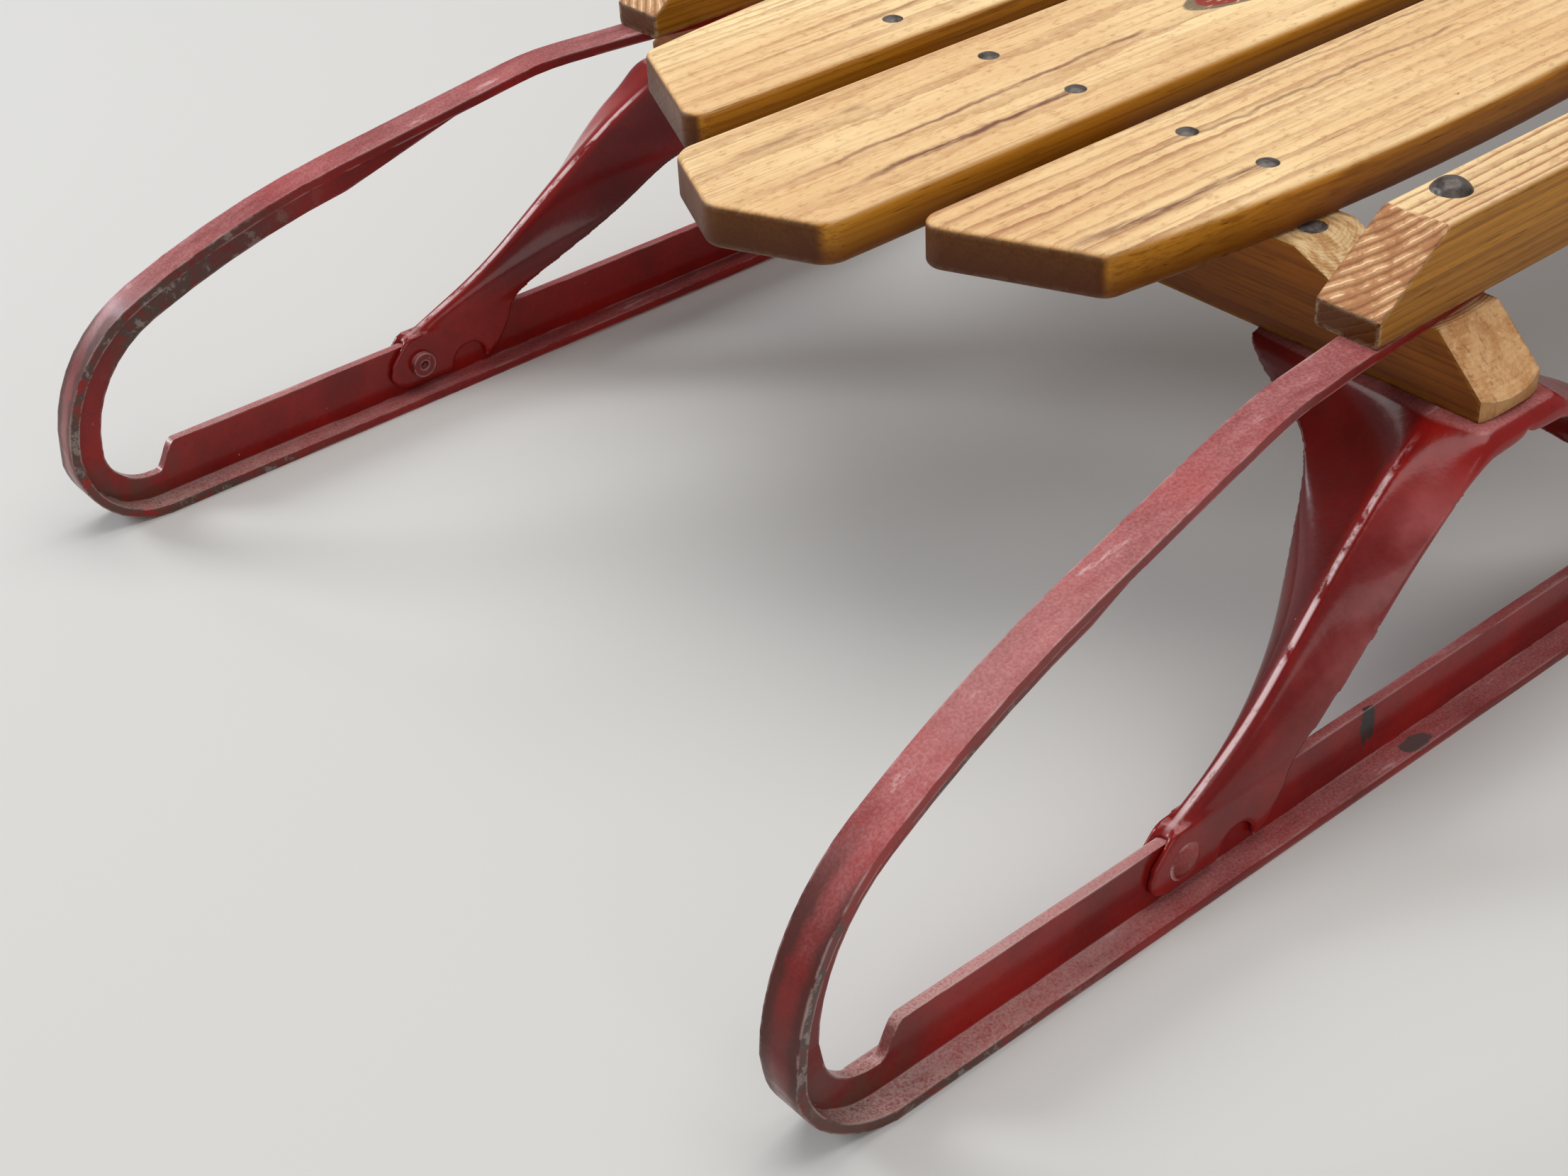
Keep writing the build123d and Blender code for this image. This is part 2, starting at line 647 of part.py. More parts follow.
def saddle_rivets(bar_y):
    low = crossbar_bottom - sheet
    one = cylinder(0, 0, low, saddle_head_high, saddle_rivet_radius)
    one += cylinder(0, 0, saddle_head_low, saddle_head_high, saddle_rivet_head)
    one += cylinder(0, 0, low - tail_thick, low, saddle_rivet_head)
    return both_sides(Pos(saddle_rivet_offset, bar_y, 0) * one)


def foot_rivets():
    """Rivets through both cheeks of each foot: a flat dome outside, a hollow tail inside."""
    one = domed_rivet(foot_rivet_radius, foot_rivet_head, foot_rivet_crown, -foot_half, foot_half)
    tail_low = -foot_half - foot_tail_length
    tail = cylinder(0, 0, tail_low, -foot_half, foot_rivet_radius + tail_overlap)
    one += tail - cylinder(0, 0, tail_low, -foot_half, foot_rivet_radius - foot_tail_wall)
    turned = Rot(0, 90, 0) * one
    spots = [(bar_y + side * foot_offset) for bar_y in (rear_bar_y, front_bar_y) for side in (-1, 1)]
    return Compound(children=[Pos(runner_x, y, foot_rivet_height) * turned for y in spots])


# Steering gear
def steering_bar():
    shoulder = (bar_half_length - bar_grip_reach, bar_half_width - bar_shoulder_drop)
    waist = (bar_half_length - bar_waist_share * bar_grip_reach, bar_waist_half_width)
    knob = (bar_half_length - bar_knob_share * bar_grip_reach, bar_grip_half_width)
    rope_hole_x = bar_half_length - rope_hole_inset

    def flip(point, sx, sy):
        return point[0] * sx, point[1] * sy

    edges = []
    for sy in (-1, 1):
        edges.append(ThreePointArc(flip(shoulder, -1, sy), (0, sy * bar_half_width), flip(shoulder, 1, sy)))
    for sx in (-1, 1):
        for sy in (-1, 1):
            edges.append(ThreePointArc(flip(shoulder, sx, sy), flip(waist, sx, sy), flip(knob, sx, sy)))
        edges.append(ThreePointArc(flip(knob, sx, 1), (sx * bar_half_length, 0), flip(knob, sx, -1)))
    bar = extrude(Pos(0, pivot_y, bar_low) * make_face(edges), amount=bar_thick)
    rims = bar.faces().sort_by(Axis.Z)[-1].edges() + bar.faces().sort_by(Axis.Z)[0].edges()
    bar = fillet(rims, radius=bar_edge_round)
    bar -= cylinder(0, pivot_y, bar_low - 1, bar_high + 1, pivot_radius + pivot_hole_gap)
    for sign in (-1, 1):
        bar -= cylinder(sign * rope_hole_x, pivot_y, bar_low - 1, bar_high + 1, rope_hole_radius)
        spot = pivot_y + sign * tongue_screw_offset
        bar -= cylinder(0, spot, bar_low - 1, bar_high + 1, tongue_screw_radius + rivet_fit)
    return bar


def steering_tongue():
    """Steel strip under the bar. It steps down ahead of the slat's nose and drives the bumper's pin."""
    high = bar_low
    low = bumper_high + slide_gap + tongue_thick
    drop = high - low
    tail_y = pivot_y + tongue_tail
    step_y = pivot_y - tongue_joggle_start
    step_end = step_y - drop / tan_run(joggle_slope)
    tip_y = pin_y - tongue_width / 2
    path = FilletPolyline((tail_y, high), (step_y, high), (step_end, low), (tip_y, low),
                         radius=tongue_joggle_radius)
    lower = offset_down(path)
    profile = make_face([*path.edges(), *lower.edges(), Line(path @ 0, lower @ 0), Line(path @ 1, lower @ 1)])
    strip = wall(upright_plane(0, 0, 0), profile, tongue_width)
    strip = fillet(strip.edges().filter_by(Axis.Z), radius=tongue_end_round)
    strip -= cylinder(0, pivot_y, high - 10, high + 1, pivot_radius + pivot_hole_gap)
    for sign in (-1, 1):
        spot = pivot_y + sign * tongue_screw_offset
        strip -= cylinder(0, spot, high - 10, high + 1, tongue_screw_radius + rivet_fit)
    slot_radius = pin_radius + pin_side_gap
    slot = extrude(Pos(0, 0, low - 10) * SlotCenterToCenter(pin_slot_travel, 2 * slot_radius), amount=20)
    return strip - Pos(0, pin_y - pin_slot_travel / 2, 0) * Rot(0, 0, 90) * slot


def offset_down(path):
    """The tongue's lower face: the same steps, one thickness below."""
    high = bar_low - tongue_thick
    low = bumper_high + slide_gap
    shift = tongue_thick * tan_run(joggle_slope / 2)
    step_y = pivot_y - tongue_joggle_start
    step_end = step_y - (high - low) / tan_run(joggle_slope)
    tail_y, tip_y = (path @ 0).X, (path @ 1).X
    return FilletPolyline((tail_y, high), (step_y + shift, high), (step_end + shift, low), (tip_y, low),
                          radius=tongue_joggle_radius)


def tongue_screws():
    low = bar_low - tongue_thick
    one = domed_rivet(tongue_screw_radius, tongue_screw_head, tongue_screw_crown, low, bar_high)
    one += cylinder(0, 0, low - tail_thick, low, tongue_screw_head)
    return Compound(children=[Pos(0, pivot_y + s * tongue_screw_offset, 0) * one for s in (-1, 1)])


def pivot_bolt():
    low = crossbar_top - washer_thick - nut_thick - bolt_end
    return Pos(0, pivot_y, 0) * domed_rivet(
        pivot_radius, pivot_head_radius, pivot_head_thick, low, bar_high + slide_gap)


def ring(y, low, high, radius):
    return cylinder(0, y, low, high, radius) - cylinder(0, y, low - 1, high + 1, pivot_radius + rivet_fit)


def pivot_nut():
    high = crossbar_top - washer_thick
    hexagon = RegularPolygon(nut_across / 2, 6, major_radius=False)
    nut = extrude(Pos(0, pivot_y, high - nut_thick) * hexagon, amount=nut_thick)
    return nut - cylinder(0, pivot_y, high - nut_thick - 1, high + 1, pivot_radius + rivet_fit)


def bumper():
    x = bumper_half_length
    front = front_tip
    rear = front_tip + bumper_depth
    edges = [
        ThreePointArc((-x, front + bumper_bow), (0, front), (x, front + bumper_bow)),
        Line((x, front + bumper_bow), (x, rear + bumper_bow)),
        ThreePointArc((x, rear + bumper_bow), (0, rear), (-x, rear + bumper_bow)),
        Line((-x, rear + bumper_bow), (-x, front + bumper_bow)),
    ]
    face = make_face(edges)
    face = fillet(face.vertices(), radius=bumper_end_round)
    strap = extrude(Pos(0, 0, bumper_low) * face, amount=bumper_thick)
    strap -= cylinder(0, pin_y, bumper_low - 1, bumper_high + 1, pin_radius + rivet_fit)
    for sign in (-1, 1):
        strap -= cylinder(sign * rail_rivet_offset, nose_rivet_y, bumper_low - 1, bumper_high + 1,
                          rail_rivet_radius + rivet_fit)
    return strap


def bumper_pin():
    shank_high = bumper_high + slide_gap + tongue_thick + slide_gap
    tail_low = bumper_low - pin_tail_length
    pin = cylinder(0, pin_y, tail_low, shank_high, pin_radius)
    pin += cylinder(0, pin_y, tail_low, bumper_low, pin_radius + tail_overlap)
    head = cylinder(0, pin_y, shank_high, shank_high + pin_head_thick, pin_head_radius)
    head = chamfer(head.faces().sort_by(Axis.Z)[-1].edges(), length=pin_head_bevel)
    return pin + head


def bumper_tails():
    one = cylinder(0, 0, bumper_low, bumper_high, rail_rivet_radius)
    one += cylinder(0, 0, bumper_low - tail_thick, bumper_low, rail_rivet_radius + tail_overlap)
    return both_sides(Pos(rail_rivet_offset, nose_rivet_y, 0) * one)


left_runner = runner()
left_rail = rail()
left_slat = outer_slat()
left_foot_rivets = foot_rivets()

parts = {
    "deck_slat_centre": centre_slat(),
    "deck_slat_left": left_slat,
    "deck_slat_right": mirrored(left_slat),
    "side_rail_left": left_rail,
    "side_rail_right": mirrored(left_rail),
    "crossbar_rear": crossbar(rear_bar_y, rear_rivet_y, strap_low),
    "crossbar_front": crossbar(front_bar_y, front_rivet_y, rail_low),
    "runner_left": left_runner,
    "runner_right": mirrored(left_runner),
    "foot_rivets_left": left_foot_rivets,
    "foot_rivets_right": mirrored(left_foot_rivets),
    "rail_rivets_rear": rail_rivets(rear_rivet_y, crossbar_bottom - sheet, True),
    "rail_rivets_middle": rail_rivets(front_rivet_y, crossbar_bottom - sheet, True),
    "rail_rivets_nose": rail_rivets(nose_rivet_y, strap_low, False),
    "slat_rivets_rear": slat_rivets(rear_bar_y),
    "slat_rivets_front": slat_rivets(front_bar_y),
    "saddle_rivets_rear": saddle_rivets(rear_bar_y),
    "saddle_rivets_front": saddle_rivets(front_bar_y),
    "pivot_bolt": pivot_bolt(),
    "pivot_spacer": ring(pivot_y, deck_top, bar_low - tongue_thick - slide_gap, spacer_radius),
    "pivot_washer": ring(pivot_y, crossbar_top - washer_thick, crossbar_top, washer_radius),
    "pivot_nut": pivot_nut(),
    "steering_bar": steering_bar(),
    "steering_tongue": steering_tongue(),
    "tongue_screws": tongue_screws(),
    "bumper": bumper(),
    "bumper_pin": bumper_pin(),
    "bumper_rivet_tails": bumper_tails(),
}
for end_name, bar_y, rivet_y in (("rear", rear_bar_y, rear_rivet_y), ("front", front_bar_y, front_rivet_y)):
    placed = Pos(0, bar_y, 0) * standard(rivet_y - bar_y)
    parts["standard_" + end_name + "_left"] = placed
    parts["standard_" + end_name + "_right"] = mirrored(placed)

for name, shape in parts.items():
    export_step(shape, "parts/" + name + ".step")
    box = shape.bounding_box()
    print(name, len(shape.solids()), [round(v, 1) for v in (*box.min, *box.max)])
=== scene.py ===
# %% [markdown]
# # A steerable wooden sled
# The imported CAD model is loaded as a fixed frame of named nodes. It already has the sled's real size and
# places, in metres, with +Z up, the floor at z = 0 and the front towards -Y. This script adds what a
# photograph shows and a plain solid doesn't: varnished wood, chipped red paint, worn steel, and the small
# marks of use.

# %% Load the frame
from math import asin, cos, radians, sin

import bmesh
import bpy
from mathutils import Matrix, Vector


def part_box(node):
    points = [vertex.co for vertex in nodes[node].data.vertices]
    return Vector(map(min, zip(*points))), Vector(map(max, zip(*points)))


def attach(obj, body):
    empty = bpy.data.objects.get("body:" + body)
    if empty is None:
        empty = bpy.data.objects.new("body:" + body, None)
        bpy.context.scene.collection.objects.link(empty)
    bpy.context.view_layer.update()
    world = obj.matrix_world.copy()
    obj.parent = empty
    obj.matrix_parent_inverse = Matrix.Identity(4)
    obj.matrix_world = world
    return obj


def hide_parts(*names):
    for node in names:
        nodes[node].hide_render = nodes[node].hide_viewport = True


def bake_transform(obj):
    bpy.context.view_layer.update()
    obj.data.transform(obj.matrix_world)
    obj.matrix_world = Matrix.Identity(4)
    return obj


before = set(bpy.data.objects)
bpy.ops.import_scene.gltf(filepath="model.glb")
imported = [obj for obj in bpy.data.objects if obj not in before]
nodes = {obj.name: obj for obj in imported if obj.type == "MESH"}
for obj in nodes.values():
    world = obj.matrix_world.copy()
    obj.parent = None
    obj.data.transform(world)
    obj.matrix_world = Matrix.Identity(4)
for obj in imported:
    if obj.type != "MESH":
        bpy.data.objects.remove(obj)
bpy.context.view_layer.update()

# %% [markdown]
# ## Camera
# A camera is an object whose matrix says where it stands and where it looks: its columns are the directions
# that are right, up and back in the picture. The matrix could be typed in, but a yaw, a pitch and a small roll
# say more, because that is how a person holds one. The lens is the focal length for a 36 mm wide sensor.

# %% Make the camera
camera_place = Vector((-0.4432, 0.7136, 0.3899))
yaw, pitch, roll = radians(232.01), radians(35.01), radians(-3.37)
sensor_width, focal_length = 36, 53.26  # millimetres
nearest_seen = 0.01  # metres
back = Vector((sin(yaw) * cos(pitch), -cos(yaw) * cos(pitch), sin(pitch)))
level = Vector((cos(yaw), sin(yaw), 0))
upright = back.cross(level)
right = cos(roll) * level + sin(roll) * upright
up = -sin(roll) * level + cos(roll) * upright
camera_data = bpy.data.cameras.new("camera")
camera_data.sensor_width = sensor_width
camera_data.lens = focal_length
camera_data.clip_start = nearest_seen
camera = bpy.data.objects.new("camera", camera_data)
bpy.context.scene.collection.objects.link(camera)
turn = Matrix((right, up, back)).transposed().to_4x4()
camera.matrix_world = Matrix.Translation(camera_place) @ turn
bpy.context.scene.camera = camera
print("camera at", tuple(round(v, 3) for v in camera_place))

# %% [markdown]
# ## Floor
# The floor is one pale square, so large that its edge lies outside the picture.

# %% Make the floor
floor_reach = 12  # metres each way from the middle
floor_colour, floor_roughness = (0.62, 0.61, 0.59, 1), 0.75
floor_mesh = bpy.data.meshes.new("floor")
bm = bmesh.new()
bmesh.ops.create_grid(bm, x_segments=1, y_segments=1, size=floor_reach)
bm.to_mesh(floor_mesh)
bm.free()
floor = bpy.data.objects.new("floor", floor_mesh)
bpy.context.scene.collection.objects.link(floor)
floor_paint = bpy.data.materials.new("pale_floor")
floor_paint.use_nodes = True
floor_shader = floor_paint.node_tree.nodes["Principled BSDF"]
floor_shader.inputs["Base Color"].default_value = floor_colour
floor_shader.inputs["Roughness"].default_value = floor_roughness
floor_mesh.materials.append(floor_paint)
print("floor", 2 * floor_reach, "m wide")

# %% [markdown]
# ## Light
# A studio's soft light comes from large panels, because a large panel gives soft shadows and long smooth
# reflections in varnish and gloss paint. The largest hangs over the deck. A smaller one stands at the
# picture's left like a window, and a small one lower down draws the highlights on the gloss paint. The last
# one fills the shadows, and so does the pale sky all round. A panel's spread is how wide it shines: 180 degrees
# is every way, and 90 keeps a window's light on what it faces.

# %% Hang the lights
# Each panel has its place, what it faces, its width and height, its watts, its colour and its spread.
panels = {
    "overhead_panel": ((0.2, -0.1, 2.2), (0, 0.1, 0), (2.4, 1.8), 38, (1.0, 0.98, 0.95), 180),
    "window_panel": ((2.1, 1.6, 1.3), (0, 0.15, 0.05), (0.9, 0.8), 9, (0.92, 0.96, 1.0), 90),
    "low_window_panel": ((1.9, 0.8, 0.62), (-0.1, 0.3, 0.05), (0.25, 0.45), 0.7, (0.86, 0.93, 1.0), 90),
    "fill_panel": ((-1.6, 1.2, 0.9), (0, 0.2, 0.05), (1.6, 1.2), 9, (1.0, 0.97, 0.93), 180),
}
for name, (place, target, size, watts, colour, spread) in panels.items():
    light = bpy.data.lights.new(name, "AREA")
    light.spread = radians(spread)
    light.shape = "RECTANGLE"
    light.size, light.size_y = size
    light.energy = watts
    light.color = colour
    panel = bpy.data.objects.new(name, light)
    bpy.context.scene.collection.objects.link(panel)
    panel.location = place
    panel.rotation_euler = (Vector(target) - Vector(place)).to_track_quat("-Z", "Y").to_euler()
print("light panels", len(panels))

# %% Light the sky
sky_colour, sky_strength = (0.75, 0.78, 0.82, 1), 0.35
world = bpy.data.worlds.new("studio")
world.use_nodes = True
sky = world.node_tree.nodes["Background"]
sky.inputs["Color"].default_value = sky_colour
sky.inputs["Strength"].default_value = sky_strength
bpy.context.scene.world = world
bpy.context.scene.view_settings.view_transform = "Standard"
print("sky strength", sky_strength)

# %% [markdown]
# ## Helpers for materials
# A material is a graph of small nodes. Dragging them together by hand hides the numbers, so these helpers add
# one node each and join its inputs, and a finish below reads as a recipe. Most of what passes between the nodes
# is a mask: a number from 0 to 1 that says how much of something there is at a point. Two masks multiplied are
# a mask of where both hold.


# %% Nodes and sums
def new_finish(name, metallic=0.0):
    """An empty material. Its recipe gives it a colour, a roughness and a relief."""
    material = bpy.data.materials.new(name)
    material.use_nodes = True
    shader = material.node_tree.nodes["Principled BSDF"]
    shader.inputs["Metallic"].default_value = metallic
    return material, material.node_tree, shader


def add_node(tree, kind, inputs, **settings):
    """One node. Each input is another node's output or a plain value."""
    node = tree.nodes.new(kind)
    for key, value in settings.items():
        setattr(node, key, value)
    for socket, value in inputs.items():
        if isinstance(value, bpy.types.NodeSocket):
            tree.links.new(value, node.inputs[socket])
        else:
            node.inputs[socket].default_value = value
    return node


def calc(tree, operation, first, *others):
    """A Math node takes two values, so more of them are worked in one after another."""
    for other in others or (0.0,):
        first = add_node(tree, "ShaderNodeMath", {0: first, 1: other}, operation=operation).outputs["Value"]
    return first


def times(tree, *values):
    return calc(tree, "MULTIPLY", *values)


def plus(tree, *values):
    return calc(tree, "ADD", *values)


def minus(tree, *values):
    return calc(tree, "SUBTRACT", *values)


def absolute(tree, value):
    return calc(tree, "ABSOLUTE", value)


def step(tree, value, low, high):
    """0 below low, 1 above high, smooth between. With low above high it runs the other way."""
    inputs = {"Value": value, "From Min": low, "From Max": high}
    return add_node(tree, "ShaderNodeMapRange", inputs, interpolation_type="SMOOTHSTEP").outputs["Result"]


print("materials before the finishes", len(bpy.data.materials))

# %% [markdown]
# ## Where a point is, and which way it faces
# A pattern could be laid on a surface by unwrapping it, but a plank's grain runs through the wood, so here it
# reads the place of the point in the piece instead. Object coordinates stay fixed to a piece when it moves. A
# noise is stretched by scaling the place before the noise reads it.


# %% Places, directions and patterns
def coordinates(tree):
    """Object coordinates, in metres."""
    return add_node(tree, "ShaderNodeTexCoord", {}).outputs["Object"]


def split(tree, vector):
    return add_node(tree, "ShaderNodeSeparateXYZ", {"Vector": vector}).outputs


def joined(tree, x, y, z):
    return add_node(tree, "ShaderNodeCombineXYZ", {"X": x, "Y": y, "Z": z}).outputs["Vector"]


def length_of(tree, vector):
    return add_node(tree, "ShaderNodeVectorMath", {0: vector}, operation="LENGTH").outputs["Value"]


def along(tree, axis):
    """How far along X, Y or Z the point is, in metres."""
    return split(tree, coordinates(tree))[axis]


def out_from_middle(tree):
    """How far the point is from the sled's middle line, on either side."""
    return absolute(tree, along(tree, "X"))


def facing(tree, axis):
    """How far the surface faces along X, Y or Z, from -1 to 1."""
    return split(tree, add_node(tree, "ShaderNodeNewGeometry", {}).outputs["Normal"])[axis]


def stretched(tree, vector, repeats, shift=(0, 0, 0)):
    inputs = {"Vector": vector, "Scale": repeats, "Location": shift}
    return add_node(tree, "ShaderNodeMapping", inputs).outputs["Vector"]


def pattern(tree, repeats, shift=(0, 0, 0), detail=4, roughness=0.6, vector=None):
    """Noise, 0 to 1. Repeats says how often it changes in a metre, every way alike or along X, Y and Z."""
    repeats = repeats if isinstance(repeats, tuple) else (repeats, repeats, repeats)
    placed = stretched(tree, coordinates(tree) if vector is None else vector, repeats, shift)
    inputs = {"Vector": placed, "Scale": 1.0, "Detail": detail, "Roughness": roughness}
    return add_node(tree, "ShaderNodeTexNoise", inputs).outputs["Fac"]


print("850 repeats in a metre are one every", round(1000 / 850, 1), "mm")


# %% Edges, colours and relief
def soft_normal(tree, radius, samples=4):
    """The surface's direction with its edges rounded off. The light takes the curve and the shape stays."""
    return add_node(tree, "ShaderNodeBevel", {"Radius": radius}, samples=samples).outputs["Normal"]


def edge_mask(tree, radius, low, high):
    """1 on an edge, where the rounded direction parts from the true one, and 0 on a flat face."""
    normal = add_node(tree, "ShaderNodeNewGeometry", {}).outputs["Normal"]
    inputs = {0: soft_normal(tree, radius), 1: normal}
    match = add_node(tree, "ShaderNodeVectorMath", inputs, operation="DOT_PRODUCT").outputs["Value"]
    return step(tree, match, high, low)


def rgb(red, green, blue):
    """A colour as a picture shows it, 0 to 255, made linear by the curve that screens use."""
    linear = [(v / 255 / 12.92 if v <= 10 else ((v / 255 + 0.055) / 1.055) ** 2.4) for v in (red, green, blue)]
    return (*linear, 1.0)


def blend_colours(tree, share, first, second, how="MIX"):
    """A Mix node has other sockets for plain numbers. Its colours are 6 and 7, and its colour out is 2."""
    inputs = {0: share, 6: first, 7: second}
    return add_node(tree, "ShaderNodeMix", inputs, data_type="RGBA", blend_type=how).outputs[2]


def layered(tree, colour, *layers):
    """Coats laid over a colour, lowest first. A coat is its mask, how much it covers, and its colour."""
    for mask, share, coat in layers:
        colour = blend_colours(tree, times(tree, mask, share), colour, coat)
    return colour


def lay_on(tree, shader, colour, rough, relief, depth, strength, under=None):
    """The recipe's end: a colour, a roughness, and a relief that catches light as if it were so many metres deep."""
    inputs = {"Height": relief, "Distance": depth, "Strength": strength}
    if under is not None:
        inputs["Normal"] = under
    normal = add_node(tree, "ShaderNodeBump", inputs).outputs["Normal"]
    for socket, value in (("Base Color", colour), ("Roughness", rough), ("Normal", normal)):
        tree.links.new(value, shader.inputs[socket])


print("128 of 255 on a screen is", round(rgb(128, 128, 128)[0], 2), "of the light")

# %% [markdown]
# ## Growth rings
# A slat is a plank sawn from a log. The growth rings of the log run along it, so on its top they show as long
# thin lines that wander a little, and on its end as arcs. Lines could be drawn for the top and arcs for the end,
# but then they wouldn't meet at the edge. The distance from the log's heart, divided by the gap between rings,
# gives both with one rule: its fraction rises slowly and drops sharply, as a ring's late wood does. A check is
# a crack that dirt has darkened. It starts at a rivet and follows the grain.

# %% Wood colours
honey, straw, ring_brown = rgb(231, 189, 136), rgb(252, 222, 168), rgb(156, 94, 58)
# The sides' dark colour is their grain and, low down, their painted shade.
side_amber, side_dark_and_shade, end_brown = rgb(202, 136, 38), rgb(106, 56, 4), rgb(72, 30, 2)
bruise_brown, knot_brown, check_brown = rgb(150, 98, 70), rgb(110, 68, 46), rgb(118, 72, 56)
# A pale colour for rubs on the top, and for the painted highlight on rounded edges.
pale_rub_and_highlight = rgb(248, 218, 176)
print("honey varnish", [round(v, 2) for v in honey[:3]])

# %% Rings and dark checks
ring_wander, ring_waver = 3.2, 0.7  # how far a ring bends in long waves and in short ones, in gaps
check_bend = 0.007  # how far a check bends, in metres


def plank_vector(tree, lengthwise):
    """Object coordinates as (across, along, up), for a plank along Y or a bar along X."""
    if lengthwise == "Y":
        return coordinates(tree)
    parts = split(tree, coordinates(tree))
    return joined(tree, parts["Y"], parts["X"], parts["Z"])


def ring_lines(tree, vector, heart, gap, seed):
    """Late-wood lines, 0 to 1: how far through a ring the point is, with every ring a little bent."""
    distance = length_of(tree, stretched(tree, vector, (1, 0, 1), (-heart[0], 0, -heart[1])))
    wander = times(tree, pattern(tree, (14, 2.6, 14), (seed, seed, 0), 3, 0.5, vector), gap * ring_wander)
    waver = times(tree, pattern(tree, (160, 34, 160), (0, seed, 0), 4, 0.65, vector), gap * ring_waver)
    rings = calc(tree, "DIVIDE", plus(tree, distance, wander, waver), gap)
    through = calc(tree, "FRACT", rings)
    line = times(tree, step(tree, through, 0.50, 0.94), step(tree, through, 1.0, 0.96))
    strength = step(tree, pattern(tree, (30, 3.5, 30), (seed, 0, seed), 2, 0.55, vector), 0.32, 0.66)
    return times(tree, line, plus(tree, times(tree, strength, 0.7), 0.3))


def dark_check(tree, start, reach, width, drift, seed):
    """A crack, 0 to 1, that runs along Y from its start (x, y), drifts aside, bends, and breaks up."""
    ahead = minus(tree, along(tree, "Y"), start[1])
    bend = times(tree, minus(tree, pattern(tree, (0, 38, 0), (seed, 0, 0), 3), 0.5), check_bend)
    aside = absolute(tree, minus(tree, along(tree, "X"), start[0], times(tree, ahead, drift), bend))
    line = step(tree, aside, width, width * 0.15)
    span = times(tree, step(tree, ahead, -0.006, 0.003), step(tree, ahead, reach, reach * 0.55))
    breaks = step(tree, pattern(tree, (500, 45, 500), (0, seed, 0)), 0.30, 0.55)
    return times(tree, line, span, breaks)


print("rings wander by up to", ring_wander, "gaps")

# %% [markdown]
# ## Varnish on the top, the sides and the ends
# Fibres, flecks and pores are noises stretched along the plank. A deck is sat on, so its varnish is worn pale
# on top and brown where it was bruised and handled. The sides and the ends are dark amber, partly the varnish
# that stays there and partly painted shade, darkest low down. One material for the top and one for the side
# would meet in a hard line. So a Bevel node softens the direction of the surface near an edge, as sandpaper
# rounds a real one. That direction mixes the top with the side, and the relief of the grain is laid over it.


# %% The plank's patterns, its top and its sides
def wood_patterns(tree, vector, heart, gap, seed):
    return {
        "rings": ring_lines(tree, vector, heart, gap, seed),
        "fibres": pattern(tree, (850, 11, 850), (seed, 0, 0), 4, 0.6, vector),
        "flecks": pattern(tree, (520, 210, 520), (0, seed, 0), 4, 0.65, vector),
        "pores": pattern(tree, (2200, 75, 2200), (0, seed, 0), 2, 0.5, vector),
        "patches": pattern(tree, (22, 5, 22), (seed * 3, 0, 0), 4, 0.6, vector),
        "knots": pattern(tree, (240, 130, 240), (0, 0, seed), 2, 0.5, vector),
    }


handled_reach = (0.295, 0.390)  # the deck's rear end is where hands take it


def wood_top(tree, grain, ring_share, checks):
    fibres, flecks, patches = grain["fibres"], grain["flecks"], grain["patches"]
    bruised = times(tree, step(tree, patches, 0.60, 0.74), step(tree, fibres, 0.42, 0.62))
    handled = times(tree, step(tree, along(tree, "Y"), *handled_reach),
                    step(tree, fibres, 0.40, 0.62), step(tree, patches, 0.40, 0.62))
    varnish = blend_colours(tree, step(tree, patches, 0.34, 0.68), honey, straw)
    top = layered(tree, varnish,
                  (grain["rings"], ring_share, ring_brown),
                  (step(tree, fibres, 0.48, 0.72), 0.40, ring_brown),
                  (step(tree, flecks, 0.53, 0.68), 0.34, ring_brown),
                  (step(tree, flecks, 0.46, 0.30), 0.35, pale_rub_and_highlight),
                  (bruised, 0.5, bruise_brown),
                  (handled, 0.5, bruise_brown),
                  (step(tree, grain["knots"], 0.77, 0.80), 0.6, knot_brown))
    return layered(tree, top, *((dark_check(tree, *check), share, check_brown) for *check, share in checks))


def wood_side_with_shade(tree, grain, lengthwise, heights):
    """Dark below and amber above, partly worn varnish and partly painted shade, and darkest on the end grain, which
    drinks varnish.
    """
    # Painted shade: the side darkens towards its foot, and its varnish is worn paler near the top.
    height = step(tree, along(tree, "Z"), *heights)
    end = step(tree, absolute(tree, facing(tree, lengthwise)), 0.55, 0.85)
    return layered(tree, blend_colours(tree, height, side_dark_and_shade, side_amber),
                   (step(tree, grain["fibres"], 0.42, 0.70), 0.55, side_dark_and_shade),
                   (grain["rings"], 0.45, side_dark_and_shade),
                   (step(tree, grain["pores"], 0.62, 0.74), 0.5, end_brown),
                   (end, 0.9, end_brown))


print("handled from", handled_reach[0], "m back")

# %% The varnished finish
deck_heights = (0.1143, 0.1271)  # the underside and the top of a slat
wood_shine, plain_edge, slat_edge = 0.22, 0.0018, 0.003
relief_depth, relief_strength = 0.00022, 0.55


